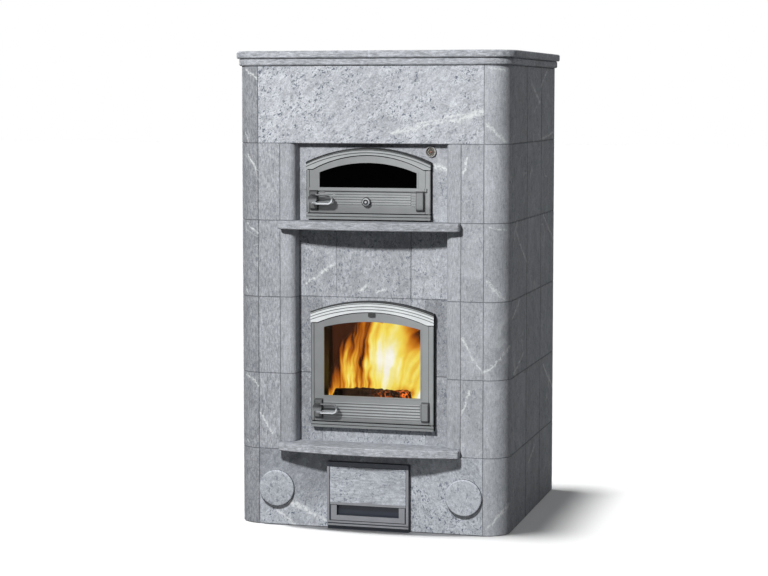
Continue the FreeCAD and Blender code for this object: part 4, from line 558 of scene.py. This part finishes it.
# The seam lines' tone is painted shade
SEAM_LEFT, SEAM_RIGHT, SEAM_SHADE_TONE = 0.0115, 0.0215, 0.4
LEAF_OUTER, LEAF_LOW = (0.0045, 0.0030), (0.004, -0.02)
# Painted reflection across the leaf, from a left tone up by a gain to the right
LEAF_REFLECTION_LEFT, LEAF_REFLECTION_GAIN = 0.84, 0.31
# The rib valleys' tone is painted shade; the leaf is darker below its ribs
VALLEY_SHADE_TONE, LOW_TONE = 0.62, 0.72
LUG_HALF, LUG_HEIGHT, LUG_SOFT = 0.0135, 0.017, 0.001
HUB_RADIUS, HUB_SOFT, HUB_TONE = 0.017, 0.004, 0.3
# The upper leg is dimmed as painted shade and the lower leg brightened as a painted highlight
LOWER_LEG, UPPER_LEG_SHADE, LOWER_LEG_HIGHLIGHT = (0.004, -0.006), 0.7, 1.4
KNOB_BUTTON, KNOB_RIM = (0.0046, 0.0036), (0.0102, 0.0142)
KNOB_TONE, KNOB_GAIN = 0.16, 1.5


class Door:
    """Places on one door's face, from the boxes of its frame and its leaf."""

    def __init__(self, name, rise, band, rib_first, rib_top, rib_inset, block_right):
        low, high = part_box(f"{name}_door_frame")
        leaf_low, leaf_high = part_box(f"{name}_door_leaf")
        self.left, self.right = low.x, high.x
        self.middle = (low.x + high.x) / 2
        self.half = (high.x - low.x) / 2
        self.frame_front = low.y
        self.leaf_front = leaf_low.y + BLOCK_PROUD
        self.leaf_top = leaf_high.z
        self.arch_radius = (self.half ** 2 + rise ** 2) / (2 * rise)
        self.arch_height = high.z - self.arch_radius
        self.band_foot = high.z - band
        self.rib_low = low.z + rib_first
        self.rib_high = low.z + rib_top
        self.rib_half = self.half - rib_inset
        self.block_low = low.z + BLOCK_BOTTOM
        self.block_high = self.block_low + BLOCK_HEIGHT
        self.block_lefts = (low.x + BLOCK_INSET, high.x - block_right - BLOCK_WIDTH)


oven = Door("oven", rise=0.054, band=0.081, rib_first=0.059, rib_top=0.098, rib_inset=0.075,
            block_right=0.025)
firebox = Door("firebox", rise=0.044, band=0.085, rib_first=0.042, rib_top=0.097, rib_inset=0.052,
               block_right=0.018)


def patch(g, axes, left, right, low, high):
    """1 on an upright rectangle."""
    return g.product(g.between(axes[X], left, right, LINE_SOFT), g.between(axes[Z], low, high, LINE_SOFT))


def come_in(g, value, start, offsets):
    """0 to 1 between two offsets from a start."""
    first, last = offsets
    return g.step(value, start + first, start + last)


def distance(g, axes, x, z):
    """Distance across the front from an axis that runs front to back."""
    right = g.less(axes[X], x)
    up = g.less(axes[Z], z)
    return g.math("SQRT", g.total(g.product(right, right), g.product(up, up)))


def frame_shade(door, band_highlight):
    """Tone of a door frame: an arch band painted paler as a highlight with a dark rim, painted shade in the
    grooves and on the sides, and a sooty throat.
    """
    front = door.frame_front

    def shade(g, axes):
        # The band is painted paler as a highlight; grooves and the sides set back from the face get painted
        # shade.
        band = g.step(axes[Z], door.band_foot - BAND_SOFT, door.band_foot + BAND_SOFT)
        grooves = come_in(g, axes[Y], front, FRAME_GROOVE)
        sides = come_in(g, axes[Y], front, FRAME_SIDE)
        soot = come_in(g, axes[Y], front, FRAME_THROAT)
        reach = distance(g, axes, door.middle, door.arch_height)
        rim_start = door.arch_radius - ARCH_RIM
        rim = g.product(band, g.step(reach, rim_start, rim_start + ARCH_RIM_SOFT))
        return g.product(g.total(1.0, g.product(band, band_highlight)), g.darkened(grooves, GROOVE_TONE),
                         g.darkened(g.largest(sides, rim), DEEP_TONE), g.darkened(soot, SOOT_TONE))

    return shade


def seam_shade_mask(g, axes, door):
    """1 on the leaf's left edge and on the thin upright seams near its left and right edges, lines painted as
    shade.
    """
    seams = [come_in(g, axes[X], door.left, LEAF_OUTER)]
    for start in (door.left + SEAM_LEFT, door.right - SEAM_RIGHT):
        seams.append(g.between(axes[X], start, start + OUTLINE, SEAM_SOFT))
    return g.largest(*seams)


def leaf_shade(door, rib_highlight, lug=False):
    """Tone of a door leaf: paler to the right as painted reflection, with painted shade on its sides, left
    edge, seams, rib valleys and block outlines, a painted highlight on its rib ridges, darker blocks and a
    darker band below the ribs, and a dark lug.
    """
    front = door.leaf_front

    def shade(g, axes):
        # Paler to the right as painted reflection; painted shade on the sides, rib valleys, left edge and
        # seams, and a painted highlight on the rib ridges.
        across = g.step(axes[X], door.middle - door.half, door.middle + door.half)
        low = come_in(g, axes[Z], door.rib_low, LEAF_LOW)
        deep = come_in(g, axes[Y], front, LEAF_SIDE)
        ribs = patch(g, axes, door.middle - door.rib_half, door.middle + door.rib_half,
                     door.rib_low, door.rib_high)
        ridge = g.product(ribs, come_in(g, axes[Y], front, RIB_RIDGE))
        valley = g.product(ribs, come_in(g, axes[Y], front, RIB_VALLEY))
        tone = g.product(
            g.total(LEAF_REFLECTION_LEFT, g.product(across, LEAF_REFLECTION_GAIN)),
            g.darkened(deep, DEEP_TONE),
            g.darkened(valley, VALLEY_SHADE_TONE),
            g.darkened(low, LOW_TONE),
            g.darkened(seam_shade_mask(g, axes, door), SEAM_SHADE_TONE),
            g.total(1.0, g.product(ridge, rib_highlight)),
        )
        # The blocks are darker, with an outline of painted shade.
        for left, gain in zip(door.block_lefts, BLOCK_GAINS):
            right = left + BLOCK_WIDTH
            block = patch(g, axes, left - OUTLINE, right + OUTLINE,
                          door.block_low - OUTLINE, door.block_high + OUTLINE)
            inner = patch(g, axes, left + OUTLINE, right - OUTLINE,
                          door.block_low + OUTLINE, door.block_high - OUTLINE)
            tone = g.product(tone, g.darkened(block, BLOCK_TONE), g.total(1.0, g.product(inner, gain)))
        if lug:
            lug_foot = door.leaf_top - LUG_HEIGHT
            boss = g.product(g.between(axes[X], -LUG_HALF, LUG_HALF),
                             come_in(g, axes[Y], front, LUG_FACE),
                             g.step(axes[Z], lug_foot, lug_foot + LUG_SOFT))
            tone = g.product(tone, g.darkened(boss, DEEP_TONE))
        return tone

    return shade


def handle_shade(node):
    """Tone of a loop handle: a dim hub, an upper leg in painted shade and a lower leg with a painted
    highlight.
    """
    low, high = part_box(node)
    hub_right = low.x + 2 * HUB_RADIUS
    height = (low.z + high.z) / 2

    def shade(g, axes):
        hub = g.step(axes[X], hub_right + HUB_SOFT, hub_right)
        lower = come_in(g, axes[Z], height, LOWER_LEG)
        return g.product(g.total(UPPER_LEG_SHADE, g.product(lower, LOWER_LEG_HIGHLIGHT)), g.darkened(hub, HUB_TONE))

    return shade


def knob_shade(g, axes):
    """Tone of the round knob: a pale button in a dark hollow inside a pale rim."""
    low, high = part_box("oven_air_knob")
    reach = distance(g, axes, (low.x + high.x) / 2, (low.z + high.z) / 2)
    button = g.step(reach, *KNOB_BUTTON)
    rim = g.between(reach, *KNOB_RIM, LINE_SOFT)
    return g.total(KNOB_TONE, g.product(g.largest(button, rim), KNOB_GAIN))


dull = {"gloss": 0.05}
polished = {"polish": 0.3, "metallic": 0.6}
dress(paint("oven_frame_paint", PAINT_TINT, frame_shade(oven, band_highlight=0.50), **dull), "oven_door_frame")
dress(paint("oven_leaf_paint", PAINT_TINT, leaf_shade(oven, rib_highlight=0.18)), "oven_door_leaf")
dress(paint("firebox_frame_paint", PAINT_TINT, frame_shade(firebox, band_highlight=1.8), **dull),
      "firebox_door_frame")
dress(paint("firebox_leaf_paint", PAINT_TINT, leaf_shade(firebox, rib_highlight=0.55, lug=True)),
      "firebox_door_leaf")
for handle in ("oven_handle", "firebox_handle"):
    dress(paint(f"{handle}_metal", HANDLE_TINT, handle_shade(handle), **polished), handle)
dress(paint("knob_metal", HANDLE_TINT, knob_shade, **polished), "oven_air_knob")
dress(raw_iron("grate_iron", (0.05, 0.045, 0.042)), "grate", "flue_collar")
dress(raw_iron("plain_steel", (0.32, 0.32, 0.32), 0.9), "oven_hinge_pins", "firebox_hinge_pins",
      "oven_glass_retainer", "firebox_glass_retainer", "ash_drawer_runners")
dress(stove_glass("stove_glass", (0.98, 0.97, 0.95), (0.92, 0.89, 0.84), 1.10),
      "firebox_door_glass", "thermometer_lens")
dress(stove_glass("sooty_glass", (0.012, 0.011, 0.010), (0.005, 0.005, 0.004), 1.06), "oven_door_glass")
dress(woven_rope("seal_rope"), "oven_door_rope", "firebox_door_rope")


# Ash unit
# Depths and heights over which painted navy shade comes in on the ash frame and the air slide
ASH_FRAME_SIDE, RAIL_FOOT = (0.0005, 0.002), (-0.001, 0.001)
SLIDE_RECESS, SLIDE_FOOT, SLIDE_GAP = (0.002, 0.005), (0.001, 0.003), 0.0035


def ash_frame_navy_shade(g, axes):
    """Sides of the ash frame, painted navy as shade, and its top rail, painted navy as the shelf's shadow."""
    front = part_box("ash_frame")[0].y
    rail_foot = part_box("ash_drawer_stone")[1].z
    deep = come_in(g, axes[Y], front, ASH_FRAME_SIDE)
    rail = come_in(g, axes[Z], rail_foot, RAIL_FOOT)
    return g.largest(deep, rail)


def air_slide_navy_shade(g, axes):
    """Hand recess of the air slide, and the gap round it, both painted navy as shade."""
    low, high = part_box("air_slide")
    recess = come_in(g, axes[Y], low.y, SLIDE_RECESS)
    face = g.product(g.between(axes[X], low.x + SLIDE_GAP, high.x - SLIDE_GAP, SEAM_SOFT),
                     come_in(g, axes[Z], low.z, SLIDE_FOOT))
    return g.largest(recess, g.less(1.0, face))


dress(paint("ash_frame_paint", ASH_TINT, hollow=ash_frame_navy_shade), "ash_frame")
dress(paint("ash_drawer_paint", ASH_TINT), "ash_drawer")
dress(paint("air_slide_paint", ASH_TINT, hollow=air_slide_navy_shade), "air_slide")

# Thermometer
DIAL_FACE, DIAL_SOFT = 0.0168, 0.0004
PLATE_DEPTHS = (0.0075, 0.009)
TICK_INNER, TICK_OUTER, TICK_COUNT = 0.0115, 0.0148, 12
TICK_EDGE, TICK_CORE = 0.22, 0.12
CASE_TINT, PLATE_TINT, TICK_TINT = (0.15, 0.15, 0.15), (0.022, 0.024, 0.028), (0.50, 0.50, 0.48)


def dial(name):
    """Grey metal case with a dark face and a ring of pale ticks."""
    g = Graph(name)
    place = g.place()
    axes = g.axes(place)
    low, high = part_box("thermometer_lens")
    x, z = (low.x + high.x) / 2, (low.z + high.z) / 2
    case_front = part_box("thermometer_case")[0].y
    reach = distance(g, axes, x, z)
    turn = g.product(g.math("ARCTAN2", g.less(axes[X], x), g.less(axes[Z], z)), TICK_COUNT / (2 * math.pi))
    ticks = g.product(g.step(g.from_line(turn), TICK_EDGE, TICK_CORE),
                      g.between(reach, TICK_INNER, TICK_OUTER, DIAL_SOFT))
    face = g.product(g.step(reach, DIAL_FACE + DIAL_SOFT, DIAL_FACE),
                     come_in(g, axes[Y], case_front, PLATE_DEPTHS))
    grain = g.noise(place, 300.0, detail=3.0, roughness=0.6)
    case = g.scaled(CASE_TINT, g.spread(grain, 0.85, 1.15))
    plate = g.scaled(PLATE_TINT, g.spread(grain, 0.8, 1.2))
    colour = g.mix(face, case, g.mix(ticks, plate, TICK_TINT))
    return g.principled(Base_Color=colour, Metallic=g.product(g.less(1.0, face), 0.7),
                        Roughness=g.spread(grain, 0.38, 0.5))


dress(dial("dial"), "thermometer_case")
dress(paint("needle_paint", (0.22, 0.07, 0.05)), "thermometer_needle")

# Fire
FIRE_LEFT, FIRE_RIGHT = -0.245, 0.235
FIRE_BOTTOM, FIRE_TOP = 0.43, 0.80
FLAME_FOOT = 0.46
FLAME_SWAY = (0.06, 0.0, 0.06)
FLAME_LEAN, RIGHT_LEAN, EDGE_LEAN = 0.08, 2.6, 0.36
TONGUES_ACROSS, TONGUES_UP = 42.0, 4.2
FLAME_EDGE, FLAME_BODY, FLAME_COOLING = (-0.275, -0.215), (-0.082, -0.064), (0.50, 0.76)
FLAME_COLOURS = [
    (0.0, (0.006, 0.002, 0.001)),
    (0.16, (0.055, 0.016, 0.006)),
    (0.30, (0.36, 0.085, 0.006)),
    (0.46, (0.72, 0.27, 0.020)),
    (0.60, (0.90, 0.55, 0.06)),
    (0.74, (0.97, 0.80, 0.13)),
    (0.87, (1.0, 0.94, 0.42)),
    (1.0, (1.0, 1.0, 0.93)),
]
# Spots of heat or, below 0, of shade, as x, z, half width, half height and heat
FLAME_SPOTS = [
    (-0.005, 0.60, 0.10, 0.15, 0.36),
    (0.14, 0.445, 0.05, 0.07, 0.55),
    (-0.26, 0.45, 0.045, 0.06, 0.50),
    (0.135, 0.735, 0.09, 0.13, -0.52),
    (0.07, 0.485, 0.06, 0.035, -0.30),
]


def flame_material(name, layer, gain, ground=0.0, shift_x=0.0):
    """Emission from dark red through orange and yellow to white, in tall tongues that lean to the right.

    layer picks the tongues and gain is added to their heat. ground is the least heat, a dim glow all over.
    """
    g = Graph(name)
    place = g.vector("ADD", g.place(), (shift_x, 0, 0))
    sway = g.vector("MULTIPLY", g.swirl(place, 9.0, 2.0), FLAME_SWAY)
    axes = g.axes(g.vector("ADD", place, sway))
    rise = g.less(axes[Z], FLAME_FOOT)
    lean = g.total(FLAME_LEAN, g.product(g.largest(axes[X], 0.0), RIGHT_LEAN))
    stem = g.less(axes[X], g.product(rise, lean))
    slant = g.less(axes[X], g.product(rise, EDGE_LEAN))
    flow = g.add("CombineXYZ", {0: g.product(stem, TONGUES_ACROSS), 1: layer,
                                2: g.product(axes[Z], TONGUES_UP)}).outputs[0]
    tongues = g.noise(flow, 1.0, detail=1.5, roughness=0.5, distortion=0.3)
    finer = g.vector("MULTIPLY", flow, (2.1, 1.0, 1.5))
    licks = g.noise(finer, 1.0, detail=2.0, roughness=0.5, distortion=0.3)

    def spot(x, z, wide, tall):
        """1 at a point of the fire, falling to 0 at the rim of an ellipse."""
        right = g.product(g.less(axes[X], x), 1 / wide)
        up = g.product(g.less(axes[Z], z), 1 / tall)
        return g.step(g.math("SQRT", g.total(g.product(right, right), g.product(up, up))), 1.0, 0.0)

    edge = g.step(slant, *FLAME_EDGE)
    body = g.step(axes[X], *FLAME_BODY)
    left = g.product(edge, g.less(1.0, body))
    cooling = g.product(left, g.step(axes[Z], *FLAME_COOLING))
    heat = g.total(
        gain,
        g.product(edge, 0.46),
        g.product(body, 0.18),
        g.product(cooling, -0.22),
        g.product(g.spread(tongues, -0.32, 0.32), left),
        g.product(g.spread(licks, -0.14, 0.14), left),
        g.product(g.spread(tongues, -0.12, 0.12), body),
        g.product(g.spread(licks, -0.05, 0.05), body),
    )
    for *where, spot_heat in FLAME_SPOTS:
        heat = g.total(heat, g.product(spot(*where), spot_heat))
    heat = g.largest(heat, ground)
    light = g.add("Emission", {"Color": g.ramp(heat, FLAME_COLOURS), "Strength": 1.0}).outputs[0]
    clear = g.add("BsdfTransparent").outputs[0]
    cover = g.step(heat, 0.02, 0.14 if ground else 0.22)
    return g.surface(g.add("MixShader", {0: cover, 1: clear, 2: light}).outputs[0])


def flame_sheet(depth, bow):
    """Builder of a thin wavy curtain of flame."""
    columns, rows, thick = 48, 20, 0.0015
    mean_height, ragged, tongues, bends = 0.93, 0.07, 60, 21

    def sheet_point(i, j, side):
        x = FIRE_LEFT + (FIRE_RIGHT - FIRE_LEFT) * i / columns
        share = j / rows
        z = FIRE_BOTTOM + (FIRE_TOP - FIRE_BOTTOM) * share * (mean_height + ragged * math.sin(x * tongues))
        wave = bow * math.sin(x * bends + share * 3.0) * share
        return (x, depth + wave + side * thick, z)

    def build(work):
        sides = [
            [[work.verts.new(sheet_point(i, j, side)) for j in range(rows + 1)] for i in range(columns + 1)]
            for side in (0, 1)
        ]
        for side, grid in enumerate(sides):
            for i in range(columns):
                for j in range(rows):
                    ring = [grid[i][j], grid[i + 1][j], grid[i + 1][j + 1], grid[i][j + 1]]
                    work.faces.new(ring if side == 0 else ring[::-1])
        front, back = sides
        for i in range(columns):
            work.faces.new([front[i + 1][0], front[i][0], back[i][0], back[i + 1][0]])
            work.faces.new([front[i][rows], front[i + 1][rows], back[i + 1][rows], back[i][rows]])
        for j in range(rows):
            work.faces.new([front[0][j], front[0][j + 1], back[0][j + 1], back[0][j]])
            work.faces.new([front[columns][j + 1], front[columns][j], back[columns][j], back[columns][j + 1]])
        for face in work.faces:
            face.smooth = True

    return build


def charred_wood(name):
    """Blackened log with ember light in its cracks, most at its right end."""
    g = Graph(name)
    place = g.place()
    cracks = g.add("TexVoronoi", {"Vector": g.vector("MULTIPLY", place, (55.0, 70.0, 70.0)), "Scale": 1.0},
                   feature="DISTANCE_TO_EDGE").outputs["Distance"]
    right_end = g.step(g.axes(place)[X], -0.06, 0.05)
    hot = g.product(g.step(cracks, 0.16, 0.02), g.step(g.noise(place, 24.0), 0.42, 0.60), right_end)
    bark = g.noise(g.vector("MULTIPLY", place, (14.0, 90.0, 90.0)), 1.0, detail=4.0, roughness=0.6)
    colour = g.ramp(bark, [(0.3, (0.006, 0.004, 0.003)), (0.7, (0.05, 0.024, 0.012))])
    return g.principled(Base_Color=colour, Roughness=0.9, Specular_IOR_Level=0.1,
                        Normal=g.bump(bark, 0.8, 0.003), Emission_Color=(1.0, 0.20, 0.03, 1.0),
                        Emission_Strength=g.product(hot, 1.3))


def log(left, right, y, z, radius):
    """Builder of a split log lying along X, lumpy and cracked off at its ends."""
    rings, spokes, end_share = 40, 16, 0.82
    swell, rough, ragged = 0.10, 0.09, 0.002

    def build(work):
        loops = []
        for i in range(rings + 1):
            share = i / rings
            x = left + (right - left) * share
            end = end_share if i in (0, rings) else 1.0
            loop = []
            for j in range(spokes):
                angle = 2 * math.pi * j / spokes
                lump = 1 + swell * math.sin(3 * angle + 9 * share) + rng.uniform(-rough, rough)
                reach = radius * lump * end
                loop.append(work.verts.new((x + rng.uniform(-ragged, ragged), y + reach * math.cos(angle),
                                            z + reach * math.sin(angle))))
            loops.append(loop)
        for here, following in zip(loops, loops[1:]):
            for j in range(spokes):
                k = (j + 1) % spokes
                work.faces.new([here[j], here[k], following[k], following[j]])
        work.faces.new(loops[0][::-1])
        work.faces.new(loops[-1])
        bmesh.ops.recalc_face_normals(work, faces=work.faces[:])

    return build


# Curtains of flame, as name, y, bow and material
flames = [
    ("flames_rear", -0.13, 0.010, flame_material("flame_rear", 5.0, -0.12, ground=0.15, shift_x=0.02)),
    ("flames_front", -0.20, 0.008, flame_material("flame_front", 1.0, 0.05)),
]
for name, depth, bow, material in flames:
    new_piece(name, flame_sheet(depth, bow), material, "heater")

char = charred_wood("charred_wood")
GRATE_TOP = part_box("grate")[1].z
LOW_LOG, HIGH_LOG = GRATE_TOP + 0.045, GRATE_TOP + 0.110
# Logs, as name, left end, right end, y, z and radius
logs = [
    ("log_front", -0.22, 0.13, -0.293, LOW_LOG, 0.041),
    ("log_rear", -0.20, 0.19, -0.203, LOW_LOG, 0.041),
    ("log_top", -0.20, 0.10, -0.248, HIGH_LOG, 0.034),
]
for name, *sizes in logs:
    new_piece(name, log(*sizes), char, "heater")

# Studio
PHOTO_WIDTH = 768
SENSOR = 36.0
FLOOR_REACH, FLOOR_DROP, FLOOR_GLOW = 60.0, 0.0005, 0.08
FLOOR_DIM, FLOOR_PALE = (0.10, 0.10, 0.10), [(0.0, 0.78), (1.0, 0.80)]
SOFT_TINT, SOFT_STRENGTH = (0.94, 0.97, 1.0, 1), 0.12


def camera():
    """Camera of the photograph: its place, yaw, pitch and focal length were fitted to the stone joints."""
    focal_pixels = 1971.77
    yaw, pitch = 15.3004, 4.6343
    data = bpy.data.cameras.new("camera")
    data.sensor_width = SENSOR
    data.lens = SENSOR * focal_pixels / PHOTO_WIDTH
    data.shift_y = -0.04
    data.clip_end = 200
    holder = bpy.data.objects.new("camera", data)
    holder.location = (1.9829, -7.5090, 1.6209)
    holder.rotation_euler = (math.radians(90 - pitch), 0, math.radians(yaw))
    scene.collection.objects.link(holder)
    scene.camera = holder


def lamp(name, kind, place, target, power, **settings):
    data = bpy.data.lights.new(name, kind)
    data.energy = power
    for key, setting in settings.items():
        setattr(data, key, setting)
    made = bpy.data.objects.new(name, data)
    made.location = place
    made.rotation_euler = (Vector(target) - Vector(place)).to_track_quat("-Z", "Y").to_euler()
    scene.collection.objects.link(made)
    return made


def studio_floor():
    """Pale floor that keeps the heater's shadow, white away from it and dim to light that it throws back."""
    g = Graph("studio_floor")
    mottle = g.noise(g.place(), 3.0, detail=2.0)
    path = g.add("LightPath").outputs
    seen = g.largest(path["Is Camera Ray"], path["Is Glossy Ray"], path["Is Transmission Ray"])
    pale = g.mix(seen, FLOOR_DIM, g.ramp(mottle, FLOOR_PALE))
    plain = g.add("BsdfDiffuse", {"Color": pale}).outputs[0]
    light = g.add("Emission", {"Color": WHITE, "Strength": g.product(seen, FLOOR_GLOW)}).outputs[0]
    material = g.surface(g.add("AddShader", {0: plain, 1: light}).outputs[0])
    mesh = bpy.data.meshes.new("studio_floor")
    signs = ((-1, -1), (1, -1), (1, 1), (-1, 1))
    corners = [(right * FLOOR_REACH, back * FLOOR_REACH, 0) for right, back in signs]
    mesh.from_pydata(corners, [], [(0, 1, 2, 3)])
    mesh.materials.append(material)
    floor = bpy.data.objects.new("studio_floor", mesh)
    floor.location.z = -FLOOR_DROP
    scene.collection.objects.link(floor)
    return floor


def world():
    """Soft light from all round, seen as plain white."""
    made = bpy.data.worlds.new("studio")
    made.use_nodes = True
    tree = made.node_tree
    tree.nodes.clear()
    path = tree.nodes.new("ShaderNodeLightPath").outputs
    seen = path["Is Camera Ray"]
    for kind in ("Is Glossy Ray", "Is Transmission Ray"):
        either = tree.nodes.new("ShaderNodeMath")
        either.operation = "MAXIMUM"
        tree.links.new(seen, either.inputs[0])
        tree.links.new(path[kind], either.inputs[1])
        seen = either.outputs[0]
    soft = tree.nodes.new("ShaderNodeBackground")
    soft.inputs["Color"].default_value = SOFT_TINT
    soft.inputs["Strength"].default_value = SOFT_STRENGTH
    white = tree.nodes.new("ShaderNodeBackground")
    white.inputs["Color"].default_value = WHITE
    mixed = tree.nodes.new("ShaderNodeMixShader")
    output = tree.nodes.new("ShaderNodeOutputWorld")
    tree.links.new(seen, mixed.inputs[0])
    tree.links.new(soft.outputs[0], mixed.inputs[1])
    tree.links.new(white.outputs[0], mixed.inputs[2])
    tree.links.new(mixed.outputs[0], output.inputs["Surface"])
    scene.world = made


def linked(light, objects, state):
    """The light falls on these objects alone, or on everything but them."""
    group = bpy.data.collections.new(f"{light.name}_receivers")
    for thing in objects:
        group.objects.link(thing)
    light.light_linking.receiver_collection = group
    for entry in group.collection_objects:
        entry.light_linking.link_state = state


# Lamps
# Shadows slant differently on the oven's stone, the bottom course and the rest, so each has its own.
PLAIN_LIGHT, COOL_LIGHT = (1.0, 1.0, 1.0), (0.985, 1.0, 1.02)
SMALL_LAMP, KEY_LAMP, WIDE_LAMP = 0.7, 0.8, 2.0
OVEN_NODES = ("oven_surround_stone", "thermometer_case", "thermometer_needle")
BOTTOM_NODES = ("base_stone_left", "base_stone_right", "ash_lintel_stone", "ash_frame", "ash_drawer",
                "ash_drawer_stone", "air_slide", "soot_cover_left", "soot_cover_right")
OVEN_FRONT, BOTTOM_FRONT = (0, -0.45, 1.3), (0, -0.5, 0.2)

camera()
floor = studio_floor()
world()
# Lamps for some nodes alone, as name, place, target, watts, tint and nodes
own_lamps = [
    ("oven_key", (-0.9, -7.4, 3.5), OVEN_FRONT, 520, PLAIN_LIGHT, OVEN_NODES),
    ("bottom_key", (-0.5, -5.2, 6.3), BOTTOM_FRONT, 700, COOL_LIGHT, BOTTOM_NODES),
    ("bottom_fill", (-0.5, -5.2, 0.5), BOTTOM_FRONT, 20, COOL_LIGHT, BOTTOM_NODES),
]
unlit = [floor]
for name, place, target, power, tint, nodes in own_lamps:
    receivers = [frame["nodes"][node] for node in nodes]
    own_lamp = lamp(name, "AREA", place, target, power, color=tint, shape="DISK", size=SMALL_LAMP)
    linked(own_lamp, receivers, "INCLUDE")
    unlit += [receiver for receiver in receivers if receiver not in unlit]
# Lamps for everything else, as name, place, target, watts, size and what they leave out
shared_lamps = [
    ("key_light", (-1.7, -7.5, 5.3), (0, -0.45, 0.9), 720, KEY_LAMP, unlit),
    ("rear_fill", (-4.5, 4.5, 3.5), (-0.3, 0.3, 0.9), 550, WIDE_LAMP, [floor]),
    ("side_fill", (4.2, 3.0, 4.2), (0.5, 0.1, 1.2), 22, WIDE_LAMP, [floor]),
]
for name, place, target, power, size, left_out in shared_lamps:
    linked(lamp(name, "AREA", place, target, power, shape="DISK", size=size), left_out, "EXCLUDE")
floor_sun = lamp("floor_sun", "SUN", (-0.62, -0.15, 6.0), (0, 0, 0), 3.45, angle=math.radians(8))
linked(floor_sun, [floor], "INCLUDE")

scene.view_settings.view_transform = "Standard"
